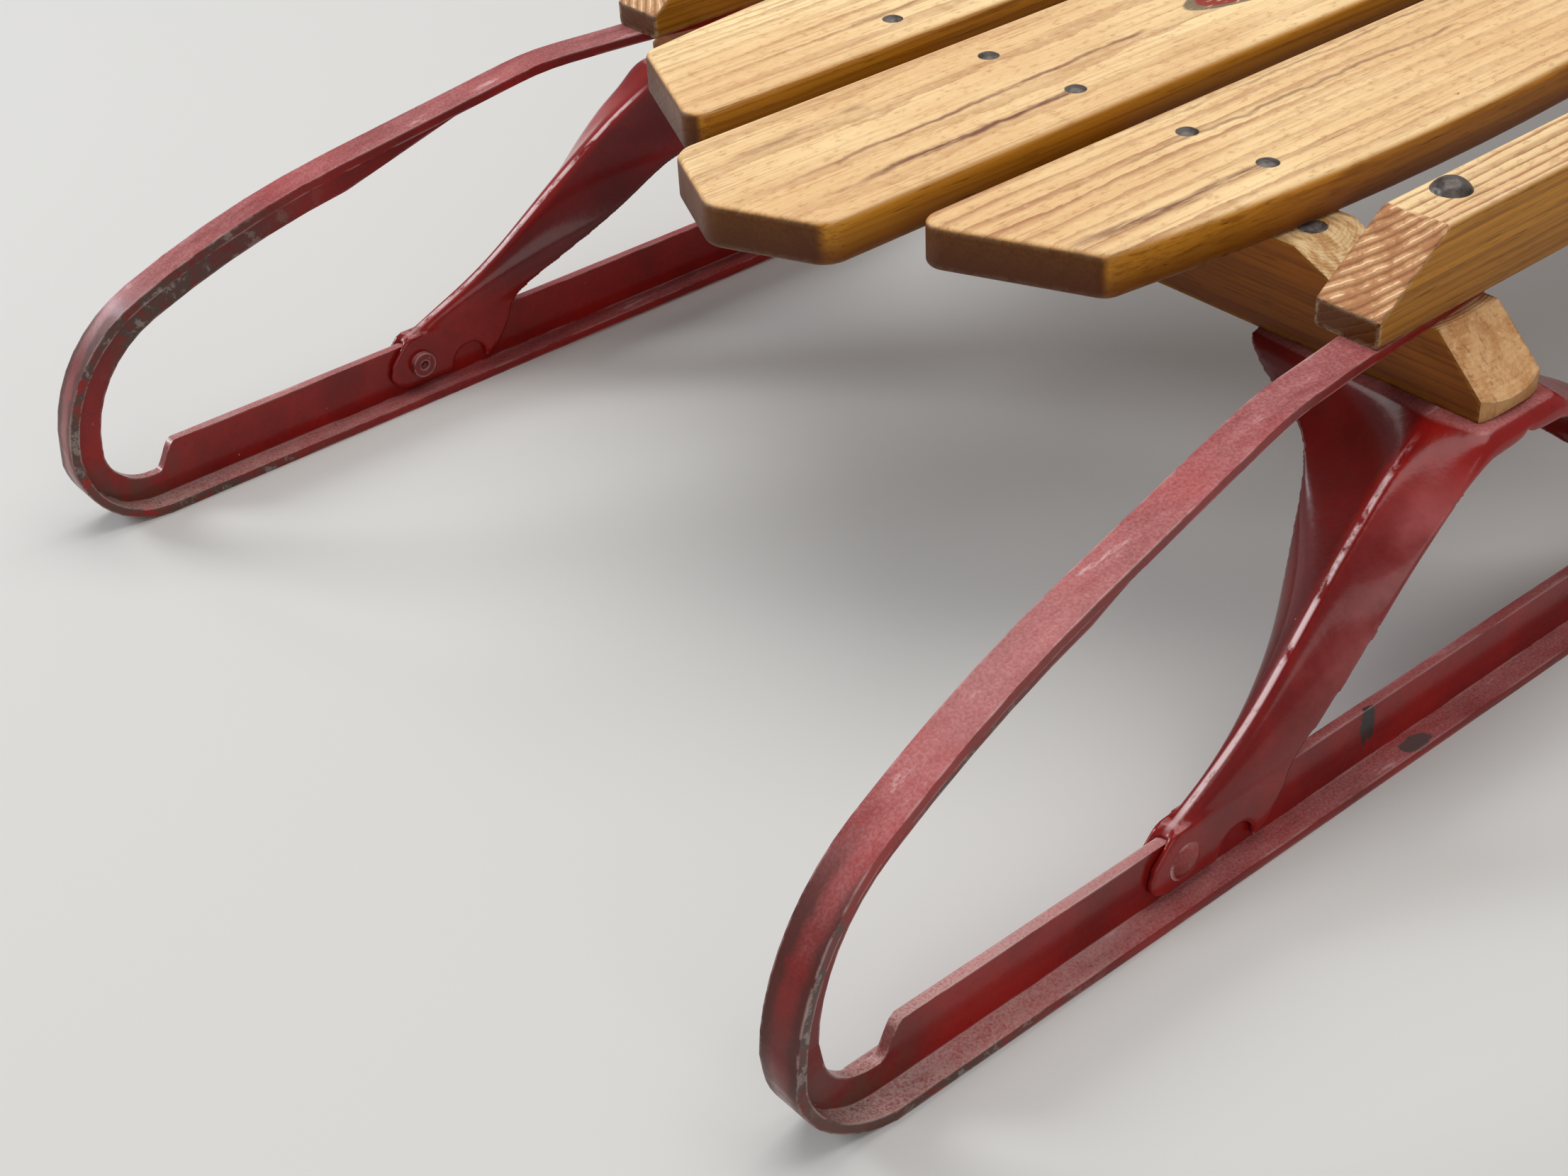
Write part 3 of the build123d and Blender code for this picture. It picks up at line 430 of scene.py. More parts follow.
def varnished_wood(name, heart, gap, seed, lengthwise="Y", heights=deck_heights, tint=(1, 1, 1), ring_share=0.88,
                   edge_round=plain_edge, checks=(), extras=None):
    """A whole finish. Extras, where given, is a function that lays more over its colour, roughness and relief."""
    finish, tree, shader = new_finish(name)
    shader.inputs["Specular IOR Level"].default_value = wood_shine
    grain = wood_patterns(tree, plank_vector(tree, lengthwise), heart, gap, seed)
    flecks, pores = grain["flecks"], grain["pores"]
    rounded = soft_normal(tree, edge_round, samples=6)
    looks_up = step(tree, split(tree, rounded)["Z"], 0.52, 0.95)
    # A pale line on rounded edges: partly worn varnish, partly a painted highlight.
    rim_wear_and_highlight = times(tree, edge_mask(tree, 0.0022, 0.90, 0.985), step(tree, flecks, 0.36, 0.56))
    top, side = wood_top(tree, grain, ring_share, checks), wood_side_with_shade(tree, grain, lengthwise, heights)
    # Faces that look up take the top's colour, and the others the side's darker one, which is partly painted shade.
    wood = layered(tree, blend_colours(tree, looks_up, side, top),
                   (rim_wear_and_highlight, 0.38, pale_rub_and_highlight),
                   (step(tree, pores, 0.66, 0.76), 0.4, end_brown))
    wood = blend_colours(tree, 1.0, wood, (*tint, 1), "MULTIPLY")
    rough = plus(tree, times(tree, step(tree, grain["patches"], 0.3, 0.7), 0.16), 0.30, times(tree, flecks, 0.16))
    relief = minus(tree, plus(tree, grain["fibres"], times(tree, flecks, 0.6)), grain["rings"])
    if extras is not None:
        wood, rough, relief = extras(tree, wood, rough, relief)
    lay_on(tree, shader, wood, rough, relief, relief_depth, relief_strength, rounded)
    return finish


print("a slat's edge is softened over", 1000 * slat_edge, "mm")

# %% [markdown]
# ## Sawn bevels on the rails
# The rails' slanted ends were sawn and never sanded. A slanted cut crosses the growth rings, so they show on it
# as arcs a little over 2 mm apart. The crests between them are pale, partly bare wood that rubbing has left and
# partly a painted highlight, and the arcs are dark, partly late wood and partly painted shadow in the valleys.
# The arcs could be curves laid on the face, but a distance from the heart's line, folded up and down again,
# gives them exactly where the rail's own rings come out. X is made positive first, so that both sides of the
# sled have them.

# %% Sawn bevels
rail_heart, rail_ring_gap = (0.109, 0.171), 0.00235
bevel_foot = (0.119, 0.1145)  # it darkens from the first height to the second


def arcs(tree, offset, wobble, gap):
    """Arcs a gap apart round the point that the offset is from: 0 on an arc, and 0.5 between two."""
    distance = plus(tree, length_of(tree, offset), wobble)
    return calc(tree, "PINGPONG", calc(tree, "DIVIDE", distance, gap), 0.5)


def sawn_bevel(tree, wood, rough, relief):
    height = along(tree, "Z")
    slanted = times(tree, step(tree, absolute(tree, facing(tree, "Y")), 0.35, 0.50),
                    step(tree, facing(tree, "Z"), 0.45, 0.60))
    grain = pattern(tree, 170)
    hatch = pattern(tree, (900, 700, 700), detail=3)
    from_heart = joined(tree, minus(tree, out_from_middle(tree), rail_heart[0]), 0,
                        minus(tree, height, rail_heart[1]))
    ridges = arcs(tree, from_heart, times(tree, grain, rail_ring_gap * 0.7), rail_ring_gap)
    # Pale crests between the arcs: partly bare wood, partly a painted highlight.
    pale = times(tree, step(tree, ridges, 0.38, 0.48), step(tree, grain, 0.40, 0.56))
    sawn = blend_colours(tree, step(tree, grain, 0.35, 0.65), rgb(172, 118, 76), rgb(206, 156, 108))
    # The dark on the arcs is partly late wood and partly painted shadow in the valleys.
    bare = layered(tree, sawn,
                   (step(tree, height, *bevel_foot), 0.45, rgb(112, 72, 58)),
                   (step(tree, ridges, 0.26, 0.04), 0.62, rgb(122, 72, 42)),
                   (step(tree, hatch, 0.52, 0.66), 0.25, rgb(128, 82, 58)),
                   (pale, 0.8, rgb(246, 214, 176)))
    lumps = plus(tree, times(tree, ridges, 4.0), hatch)
    return (blend_colours(tree, slanted, wood, bare),
            plus(tree, rough, times(tree, slanted, 0.08)),
            plus(tree, relief, times(tree, slanted, lumps)))


print("bevel arcs", 1000 * rail_ring_gap, "mm apart")

# %% [markdown]
# ## Bare ends of the crossbars
# The crossbars' ends were cut down to seat the rails after the bars were dipped, so the cut tops and the end
# faces are bare wood, torn by the blade. A second material on those faces would be another way, but its border
# would be hard. A mask lets the varnish fade out there, over bare wood with its own splinters.

# %% Bare ends
cut_reach, slope_reach = (0.0985, 0.1000), (0.135, 0.125)  # where the varnish stops, and the cut's slope
blade_centre, blade_gap = (0.100, 0.267), 0.0011
bare_rough = 0.62


def bare_ends(tree, wood, rough, relief):
    out, looks_up = out_from_middle(tree), facing(tree, "Z")
    end_face = step(tree, absolute(tree, facing(tree, "X")), 0.45, 0.60)
    bare_mask = times(tree, step(tree, out, *cut_reach),
                      calc(tree, "MAXIMUM", step(tree, looks_up, 0.25, 0.45), end_face))
    from_blade = joined(tree, minus(tree, out, blade_centre[0]), minus(tree, along(tree, "Y"), blade_centre[1]), 0)
    jitter = times(tree, pattern(tree, 150, detail=3), blade_gap * 0.6)
    ridges = arcs(tree, from_blade, jitter, blade_gap)
    clouds = pattern(tree, 120, (4, 2, 0), 5, 0.65)
    splinters = pattern(tree, (160, 520, 300), (1, 0, 3), 5, 0.7)
    torn = pattern(tree, (700, 420, 700), (6, 1, 2), 4, 0.65)
    pale = times(tree, step(tree, ridges, 0.30, 0.46), step(tree, splinters, 0.40, 0.60))
    slope = times(tree, bare_mask, step(tree, out, *slope_reach))
    chips = blend_colours(tree, step(tree, splinters, 0.38, 0.62), rgb(196, 150, 96), rgb(238, 208, 158))
    cut = blend_colours(tree, step(tree, clouds, 0.36, 0.62), rgb(196, 140, 88), rgb(222, 174, 122))
    bare = layered(tree, cut,
                   (step(tree, splinters, 0.52, 0.66), 0.6, rgb(160, 100, 56)),
                   (step(tree, torn, 0.56, 0.68), 0.5, rgb(240, 200, 150)),
                   (step(tree, torn, 0.42, 0.32), 0.4, rgb(150, 92, 50)),
                   (pale, 0.15, rgb(236, 204, 160)),
                   (step(tree, looks_up, 0.30, 0.05), 0.5, rgb(150, 104, 52)),
                   (slope, 1, chips))
    lumps = plus(tree, times(tree, splinters, 5.0), times(tree, ridges, 2.5))
    return (blend_colours(tree, bare_mask, wood, bare),
            blend_colours(tree, bare_mask, rough, (bare_rough, bare_rough, bare_rough, 1)),
            plus(tree, relief, times(tree, bare_mask, lumps)))


print("crossbars are bare from", cut_reach[1], "m out")

# %% [markdown]
# ## A painted oval
# The middle of the centre slat has a plain painted decoration, worn by clothes: one long oval ring with a thin
# grey border. It could be a thin piece of its own, but paint has no thickness to see. An oval is a circle in
# stretched coordinates, so the ring is two limits on one distance, and the wear is a noise that takes it off.

# %% Painted oval
oval_half_width, oval_half_length, oval_line = 0.0215, 0.203, 0.085
oval_red, oval_grey = rgb(150, 44, 34), rgb(78, 70, 66)


def painted_oval(tree, wood, rough, relief):
    scale = (1 / oval_half_width, 1 / oval_half_length, 0)
    distance = length_of(tree, stretched(tree, coordinates(tree), scale))
    aside = absolute(tree, minus(tree, distance, 1 - oval_line))
    left_on = times(tree, step(tree, pattern(tree, (900, 160, 900), (5, 0, 0), 5, 0.7), 0.34, 0.44),
                    step(tree, facing(tree, "Z"), 0.8, 0.95))
    border = times(tree, left_on, step(tree, aside, oval_line, oval_line * 0.88))
    ring = times(tree, left_on, step(tree, aside, oval_line * 0.68, oval_line * 0.58))
    return layered(tree, wood, (border, 0.8, oval_grey), (ring, 0.9, oval_red)), rough, relief


print("oval", 2 * oval_half_width, "by", 2 * oval_half_length, "m")

# %% [markdown]
# ## A finish for each wooden piece
# No two planks come from the same place in a log, so each has its own heart, ring gap and seed. Rings whose
# heart lies beside a plank meet its top steeply, in close lines. Where the heart lies below, they meet it flat,
# in wide ones. The crossbars' varnish is darker.

# %% Wooden finishes
rear_rivet_y = 0.267
# A check's start, reach, width, drift, seed and how dark it is.
centre_checks = [((-0.0176, rear_rivet_y), 0.105, 0.0022, -0.02, 3, 0.95),
                 ((-0.002, 0.225), 0.165, 0.0014, -0.03, 8, 0.75),
                 ((0.0176, 0.318), 0.055, 0.0030, -0.05, 12, 0.6)]
left_checks = [((0.064, 0.255), 0.03, 0.002, 0, 4, 0.5)]
right_checks = [((-0.087, rear_rivet_y), 0.085, 0.0028, 0.02, 5, 0.9),
                ((-0.064, 0.16), 0.19, 0.0013, 0.02, 14, 0.6),
                ((-0.051, 0.05), 0.30, 0.0011, 0.01, 17, 0.55)]
rail_tint, crossbar_tint = (0.93, 0.93, 0.93), (0.56, 0.39, 0.07)
rail_heights, crossbar_heights, bar_heights = (0.092, 0.1355), (0.075, 0.1143), (0.139, 0.160)

centre_finish = varnished_wood("varnish_centre", (0.11, 0.03), 0.0110, 3, ring_share=0.42, edge_round=slat_edge,
                               checks=centre_checks, extras=painted_oval)
left_finish = varnished_wood("varnish_left", (0.02, 0.02), 0.0036, 7, ring_share=0.62, edge_round=slat_edge,
                             checks=left_checks)
right_finish = varnished_wood("varnish_right", (-0.17, 0.06), 0.0056, 11, edge_round=slat_edge,
                              checks=right_checks)
crossbar_finish = varnished_wood("varnish_crossbar", (0.30, 0.16), 0.009, 5, "X", crossbar_heights, crossbar_tint,
                                 extras=bare_ends)
bar_finish = varnished_wood("varnish_bar", (0.30, 0.10), 0.007, 13, "X", bar_heights)
rail_finishes = {}
for side, sign, seed in (("left", 1, 9), ("right", -1, 10)):
    heart = (sign * rail_heart[0], rail_heart[1])
    rail_finishes[side] = varnished_wood("varnish_rail_" + side, heart, rail_ring_gap, seed, "Y", rail_heights,
                                         rail_tint, extras=sawn_bevel)
print("materials with the wooden ones", len(bpy.data.materials))

# %% [markdown]
# ## Dust and dirt on paint
# Dust lies thick on faces that look up and thin on the others, and is wiped off in streaks. The back of a
# runner's curl is dirty from the ground, less so along its middle line. Both could be pieces of their own, but
# they have no thickness to see, so they are masks, and the paint below stays one material from end to end.


# %% Dust and dirt
def dust_film(tree, upward, scuffs):
    powder = pattern(tree, 1300, detail=3)
    wiped = plus(tree, times(tree, step(tree, scuffs, 0.25, 0.65), 0.45), 0.35)
    grains = plus(tree, times(tree, step(tree, powder, 0.35, 0.68), 0.55), 0.65)
    return times(tree, plus(tree, times(tree, upward, wiped), 0.03), grains)


curl_reach, web_middle = (0.462, 0.488), 0.1692


def curl_dirt(tree, scuffs):
    back_face = times(tree, step(tree, facing(tree, "Y"), 0.25, 0.75), step(tree, along(tree, "Y"), *curl_reach))
    aside = absolute(tree, minus(tree, out_from_middle(tree), web_middle))
    aside = plus(tree, aside, times(tree, minus(tree, scuffs, 0.5), 0.006))
    return times(tree, back_face, plus(tree, times(tree, step(tree, aside, 0.0010, 0.0040), 0.7), 0.3))


print("dirt on the curl from", curl_reach[0], "m back")

# %% [markdown]
# ## Red paint on steel
# Gloss paint on steel chips to a dark underlayer, wears through to pale metal on outer edges, and gathers dust.
# Chips could be cut into the mesh, but they are thinner than paint, so colour and a shallow relief are enough.
# A thin clear coat over the paint gives the gloss, and dust makes it rough again.

# %% Chipped paint
paint_shine, coat_weight, coat_roughness = 0.26, 0.18, 0.1
dark_red, bright_red, deep_red = rgb(108, 8, 4), rgb(146, 17, 10), rgb(74, 10, 8)
dust_pink, streak_dust_and_highlight, dirt_brown = rgb(198, 132, 131), rgb(226, 192, 190), rgb(62, 26, 18)
chip_grey, worn_grey, speck_grey = rgb(50, 40, 36), rgb(190, 160, 154), rgb(222, 204, 196)


def chipped_paint(name, seed, dust_from=0.30, marks=None):
    """A whole finish. Marks, where given, is a function that lays a piece's own marks over its colour, and on the
    stands painted shade and highlights too.
    """
    finish, tree, shader = new_finish(name)
    shader.inputs["Specular IOR Level"].default_value = paint_shine
    shader.inputs["Coat Weight"].default_value = coat_weight
    shader.inputs["Coat Roughness"].default_value = coat_roughness
    clouds = pattern(tree, 22, (seed, 0, 0), 5)
    grit = pattern(tree, 520, (0, seed, 0))
    scuffs = pattern(tree, (150, 26, 150), (0, 0, seed), 5, 0.7)
    chip = step(tree, pattern(tree, 46, (seed, seed, 0), 6), 0.735, 0.745)
    speck = step(tree, pattern(tree, 700, (seed, 0, 0), 2, 0.5), 0.80, 0.83)
    edge = times(tree, edge_mask(tree, 0.0012, 0.78, 0.95), step(tree, scuffs, 0.42, 0.56))
    upward = step(tree, facing(tree, "Z"), dust_from, 0.98)
    film, dirt = dust_film(tree, upward, scuffs), curl_dirt(tree, scuffs)
    body = layered(tree, blend_colours(tree, step(tree, clouds, 0.35, 0.68), dark_red, bright_red),
                   (step(tree, grit, 0.5, 0.75), 0.3, deep_red),
                   (film, 0.68, dust_pink),
                   # Pale pink streaks on faces that look up: partly dust, partly a painted highlight.
                   (times(tree, upward, step(tree, scuffs, 0.60, 0.72)), 0.5, streak_dust_and_highlight),
                   (dirt, 0.85, dirt_brown))
    if marks is not None:
        body = marks(tree, body, scuffs, clouds)
    body = layered(tree, body, (chip, 1, chip_grey), (edge, 0.8, worn_grey), (speck, 0.7, speck_grey))
    rough = plus(tree, times(tree, film, 0.20), times(tree, grit, 0.18), times(tree, dirt, 0.3), 0.12)
    relief = minus(tree, plus(tree, times(tree, grit, 0.5), clouds), times(tree, chip, 1.2))
    lay_on(tree, shader, body, rough, relief, relief_depth, relief_strength)
    return finish


print("paint gloss", paint_shine, "clear coat", coat_weight)

# %% [markdown]
# ## Marks on the runners
# The curl's side edges are rubbed down to grey steel, grime sits behind its foot, and dust lies where the curl
# starts. Two chips of paint are gone between the right rear stand's legs: one on the web, down from its edge,
# and one on the flange. Noise can't put a chip at one place, so each is a spot: an oval with a ragged border.

# %% Runner marks
runner_middle = 0.1694
# Along Y and up Z, in metres, each mark fades in from the first number to the second.
edge_reach, grime_reach, dust_reach = (0.405, 0.465), (0.455, 0.500), (0.36, 0.47)
grime_heights, dust_heights = (0.030, 0.008), (0.045, 0.020)
# A chip's centre, its reach along X, Y and Z, and the colour under the paint.
chips_by_stand = [((-0.1710, 0.3150, 0.0155), (0.0012, 0.0030, 0.0072), rgb(48, 42, 40)),
                  ((-0.1757, 0.2996, 0.0030), (0.0026, 0.0058, 0.0020), rgb(96, 78, 76))]


def spot(tree, centre, reach):
    """1 inside one ragged oval spot, 0 outside."""
    shift = [-place / radius for place, radius in zip(centre, reach)]
    distance = length_of(tree, stretched(tree, coordinates(tree), [1 / radius for radius in reach], shift))
    ragged = times(tree, minus(tree, pattern(tree, 330), 0.5), 1.2)
    return step(tree, plus(tree, distance, ragged), 1.04, 0.92)


def runner_marks(tree, body, scuffs, clouds):
    place, height = along(tree, "Y"), along(tree, "Z")
    patchy = pattern(tree, 130, (2, 7, 1), 6, 0.7)
    powder = pattern(tree, 1500, detail=3)
    across = absolute(tree, minus(tree, out_from_middle(tree), runner_middle))
    edge = times(tree, step(tree, across, 0.0030, 0.0042), step(tree, place, *edge_reach),
                 step(tree, absolute(tree, facing(tree, "X")), 0.35, 0.75))
    grime = times(tree, step(tree, place, *grime_reach), step(tree, height, *grime_heights))
    dusty = times(tree, step(tree, facing(tree, "Z"), 0.35, 0.85), step(tree, place, *dust_reach),
                  step(tree, height, *dust_heights),
                  step(tree, plus(tree, powder, times(tree, patchy, 0.5)), 0.52, 0.90))
    return layered(tree, body,
                   *((spot(tree, centre, reach), 1, colour) for centre, reach, colour in chips_by_stand),
                   (times(tree, edge, step(tree, patchy, 0.36, 0.54)), 1, rgb(78, 56, 48)),
                   (times(tree, edge, step(tree, patchy, 0.54, 0.62)), 0.5, rgb(168, 148, 142)),
                   (times(tree, grime, step(tree, patchy, 0.30, 0.60)), 1, rgb(92, 54, 44)),
                   (dusty, 0.75, rgb(186, 150, 144)))


print("chips by the stand", len(chips_by_stand))

# %% [markdown]
# ## Marks, shade and highlights on the stands
# A stand's gusset is painted darker under the deck, as painted shade. Its flange is rubbed pink in patches and
# pinker towards its outer edge, partly dust and partly a painted highlight, and its ridge has a pale painted
# highlight along it, broken in places. A hand-painted mask would do, but it belongs to one mesh. The ridge
# leans outwards as it goes down, so a sloping line says where it is, and each mark is placed by how far out
# from that line it lies, on all four stands alike.

# %% Stand marks, shade and highlights
ridge_top_z, ridge_top_x, ridge_lean = 0.0756, 0.1597, 0.19
# Heights over which a mark fades in at its foot, and out at its head.
gusset_foot, flange_foot, ridge_foot = (0.026, 0.045), (0.024, 0.050), (0.020, 0.026)
flange_head, ridge_head = (0.084, 0.070), (0.085, 0.078)
# The gusset's colour is painted shade, the flange's pink is partly dust and partly a painted highlight, and the
# ridge's pale is a painted highlight.
gusset_painted_shade, flange_dust_and_highlight, pale_ridge_highlight = rgb(46, 18, 18), rgb(196, 132, 130), rgb(240, 210, 210)


def stand_marks_shade_and_highlights(tree, body, scuffs, clouds):
    height = along(tree, "Z")
    ridge_x = plus(tree, times(tree, minus(tree, ridge_top_z, height), ridge_lean), ridge_top_x)
    outward = minus(tree, out_from_middle(tree), ridge_x)
    # Painted shade: the gusset is darkened where it lies under the deck.
    under_deck_shade = times(tree, step(tree, outward, -0.0005, -0.0045), step(tree, height, *gusset_foot))
    flange = times(tree, step(tree, outward, 0.001, 0.004), step(tree, height, *flange_foot),
                   step(tree, height, *flange_head))
    # A painted highlight: the flange is pinker towards its outer edge, over its patches of dust.
    sheen_toward_edge = plus(tree, times(tree, step(tree, outward, 0.003, 0.010), 0.65), 0.35)
    # A painted highlight: a pale line along the ridge's crest, broken by scuffs.
    ridge_highlight = step(tree, absolute(tree, plus(tree, outward, 0.0004)), 0.0012, 0.0004)
    ridge_highlight = times(tree, ridge_highlight, step(tree, scuffs, 0.36, 0.52), step(tree, height, *ridge_head),
                  step(tree, height, *ridge_foot))
    return layered(tree, body,
                   (under_deck_shade, 0.62, gusset_painted_shade),
                   (times(tree, flange, sheen_toward_edge, step(tree, clouds, 0.30, 0.64)), 0.36, flange_dust_and_highlight),
                   (ridge_highlight, 0.70, pale_ridge_highlight))


print("the ridge leans", ridge_lean, "m out for each metre down")

# %% [markdown]
# ## Tarnished steel
# A rivet's head is hammered, so it has shallow dents, and it is dull and spotted with rust. A Voronoi pattern
# has round cells, which look like hammer marks. The metal is only half metallic, because tarnish hides it.

# %% Tarnished steel
steel_metallic, steel_depth, steel_strength = 0.45, 0.0004, 0.7
rust = rgb(118, 84, 62)


def tarnished_steel(name, seed, light, dark):
    finish, tree, shader = new_finish(name, steel_metallic)
    clouds = pattern(tree, 240, (seed, 0, 0), 5)
    spots = pattern(tree, 900, (0, seed, 0), 3)
    cells = {"Vector": stretched(tree, coordinates(tree), (420, 420, 420), (seed, 0, 0)), "Scale": 1.0}
    dents = add_node(tree, "ShaderNodeTexVoronoi", cells, feature="SMOOTH_F1").outputs["Distance"]
    body = layered(tree, blend_colours(tree, step(tree, clouds, 0.35, 0.65), dark, light),
                   (step(tree, spots, 0.6, 0.7), 0.45, rust))
    rough = plus(tree, times(tree, clouds, 0.35), 0.25)
    relief = plus(tree, times(tree, dents, 1.6), times(tree, spots, 0.3))
    lay_on(tree, shader, body, rough, relief, steel_depth, steel_strength)
    return finish


# %% Paint and steel finishes
level_only, all_round = 0.93, -0.2  # how far up a face has to look for dust to lie on it
runner_paint = chipped_paint("chipped_red_paint", 2, marks=runner_marks)
stand_paint = chipped_paint("stand_red_paint", 6, level_only, stand_marks_shade_and_highlights)
head_paint = chipped_paint("dusty_red_paint", 9, all_round)
rivet_steel = tarnished_steel("tarnished_rivet_steel", 4, rgb(104, 96, 92), rgb(62, 54, 50))
nail_steel = tarnished_steel("grey_nail_steel", 8, rgb(152, 148, 146), rgb(92, 88, 88))
bolt_steel = tarnished_steel("dull_bolt_steel", 6, rgb(150, 146, 140), rgb(84, 78, 72))
print("materials with paint and steel", len(bpy.data.materials))

# %% [markdown]
# ## Rails and runners, cut where they bend
# When the bar is steered, the front ends of the rails and runners bend sideways together, and the bumper rides
# on them. The CAD model holds them straight, so each is copied here and cut into short lengths ahead of the
# front crossbar. A copy of a CAD mesh is loose triangles, so it is merged first, and flat triangles are
# dissolved into the faces that they came from.

# %% Copy and finish helpers
weld_reach, flat_angle = 1e-6, radians(0.4)


def copy_of(node):
    """A merged copy of a CAD node's mesh, as a bmesh."""
    bm = bmesh.new()
    bm.from_mesh(nodes[node].data)
    bmesh.ops.remove_doubles(bm, verts=bm.verts, dist=weld_reach)
    bmesh.ops.dissolve_limit(bm, angle_limit=flat_angle, verts=bm.verts, edges=bm.edges)
    bm.faces.ensure_lookup_table()
    return bm


def cut_across(bm, point, direction, **settings):
    """Gives the mesh edges where a plane crosses it."""
    everything = bm.verts[:] + bm.edges[:] + bm.faces[:]
    return bmesh.ops.bisect_plane(bm, geom=everything, dist=weld_reach, plane_co=point, plane_no=direction, **settings)


def mesh_object(bm, name):
    mesh = bpy.data.meshes.new(name)
    bm.to_mesh(mesh)
    bm.free()
    piece = bpy.data.objects.new(name, mesh)
    bpy.context.scene.collection.objects.link(piece)
    return piece


def finish_piece(bm, name, finish, smooth_angle=35):
    """An object with its faces turned outwards, smooth but for its edges, and painted."""
    bmesh.ops.recalc_face_normals(bm, faces=bm.faces)
    piece = mesh_object(bm, name)
    piece.data.shade_smooth()
    piece.data.set_sharp_from_angle(angle=radians(smooth_angle))
    piece.data.materials.append(finish)
    return piece


def soften(piece, width):
    """A narrow rounding on every edge sharper than 40 degrees."""
    rounding = piece.modifiers.new("soft_edges", "BEVEL")
    rounding.width = width
    rounding.segments = 2
    rounding.limit_method = "ANGLE"
    rounding.angle_limit = radians(40)
    rounding.harden_normals = False


print("merges points within", 1000 * weld_reach, "mm")

# %% [markdown]
# ## Where they bend
# The bend starts a little ahead of the front crossbar, which holds the rails straight, and ends at the nose
# rivets. A mesh can only bend where it has edges across it, so bisect_plane cuts it into 16 equal lengths.


# %% The bend
def middle_y(node):
    return sum(corner.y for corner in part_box(node)) / 2


def bends_with_front(piece, *replaced):
    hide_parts(*replaced)
    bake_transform(piece)


front_bar_y = middle_y("crossbar_front")
held_length, bend_lengths = 0.02, 16
bend_start, bend_end = (0, front_bar_y - held_length, 0), (0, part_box("rail_rivets_nose")[1].y, 0)
bend_reach = bend_end[1] - bend_start[1]
bend_cuts = [bend_start[1] + bend_reach * cut / bend_lengths for cut in range(bend_lengths + 1)]
print("bends over", round(-bend_reach, 3), "m in", bend_lengths, "lengths")

# %% [markdown]
# ## The runner's own shape
# At the back, the runner's strap comes up under the rail and lies flat on the crossbar as a pad. The pad narrows
# to the strap's width before it leaves the rail, and its front corner tucks in under it. The web ends in the curl
# with a soft S. The CAD has all three a little plainer. They could be cut again, but moving a few vertices of the
# copy keeps the mesh clean. The S is a smooth step turned on its side: the height of a vertex is known and its
# place along the sled is wanted, and an arcsine gives that.

# %% Shape the runner
# Where the pad narrows to the strap, and where its front corner is and tucks in to.
pad_end, strap_inner = 0.3, 0.1407
pad_front, pad_tuck, pad_row, pad_middle, pad_low = 0.2550, 0.1488, 0.001, 0.150, 0.105
# Where the CAD has its round notch, and where the S starts, ends, and has its top and its foot.
notch_found, web_inner, web_slack = (0.4734, 0.4802), 0.1675, 1e-4
notch_start, notch_end, web_top, web_low = 0.4750, 0.4820, 0.0200, 0.0110


def shape_runner(vert):
    x, y, z = abs(vert.co.x), vert.co.y, vert.co.z
    if y > pad_end and x < strap_inner:
        x = strap_inner
    if abs(y - pad_front) < pad_row and x > pad_middle and z > pad_low:
        x = pad_tuck
    if notch_found[0] < y < notch_found[1] and x > web_inner and web_low - web_slack < z < web_top + web_slack:
        fallen = min(max((web_top - z) / (web_top - web_low), 0), 1)
        y = notch_start + (notch_end - notch_start) * (0.5 - sin(asin(1 - 2 * fallen) / 3))
    vert.co = (x if vert.co.x > 0 else -x, y, z)


print("the S is", round(1000 * (web_top - web_low), 1), "mm high")

# %% Rails, runners and nose rivets
rail_edge, runner_edge = 0.0006, 0.0004
for side in ("left", "right"):
    rail = copy_of("side_rail_" + side)
    runner = copy_of("runner_" + side)
    for vert in runner.verts:
        shape_runner(vert)
    for bm, node, new_name, finish, slot, edge in (
            (rail, "side_rail_", "bent_rail_", rail_finishes[side], "rail_varnish", rail_edge),
            (runner, "runner_", "painted_runner_", runner_paint, "red_paint", runner_edge)):
        for place in bend_cuts:
            cut_across(bm, (0, place, 0), (0, 1, 0))
        piece = finish_piece(bm, new_name + side, finish)
        soften(piece, edge)
        bends_with_front(piece, node + side)
        print(piece.name, len(piece.data.polygons), "faces")
nose_rivets = finish_piece(copy_of("rail_rivets_nose"), "nose_rivets", rivet_steel)
bends_with_front(nose_rivets, "rail_rivets_nose")

# %% [markdown]
# ## Pressed stands
# Each stand is one sheet of steel, pressed in a die: a plate under the crossbar bends down into two legs, and
# each leg is a channel with a rounded ridge that closes round the runner's web at the foot. The CAD solid has
# the same form in flat strips. Here a grid is laid on the leg as a cage: every row is a section of the sheet,
# from the middle of the plate down to the foot, and every column runs down the leg. Subdivision rounds the cage
# as a die does, and a Solidify modifier gives the sheet its thickness. The cheeks round the web come from the
# CAD node, and a voxel remesh welds the parts into one skin, as paint does.

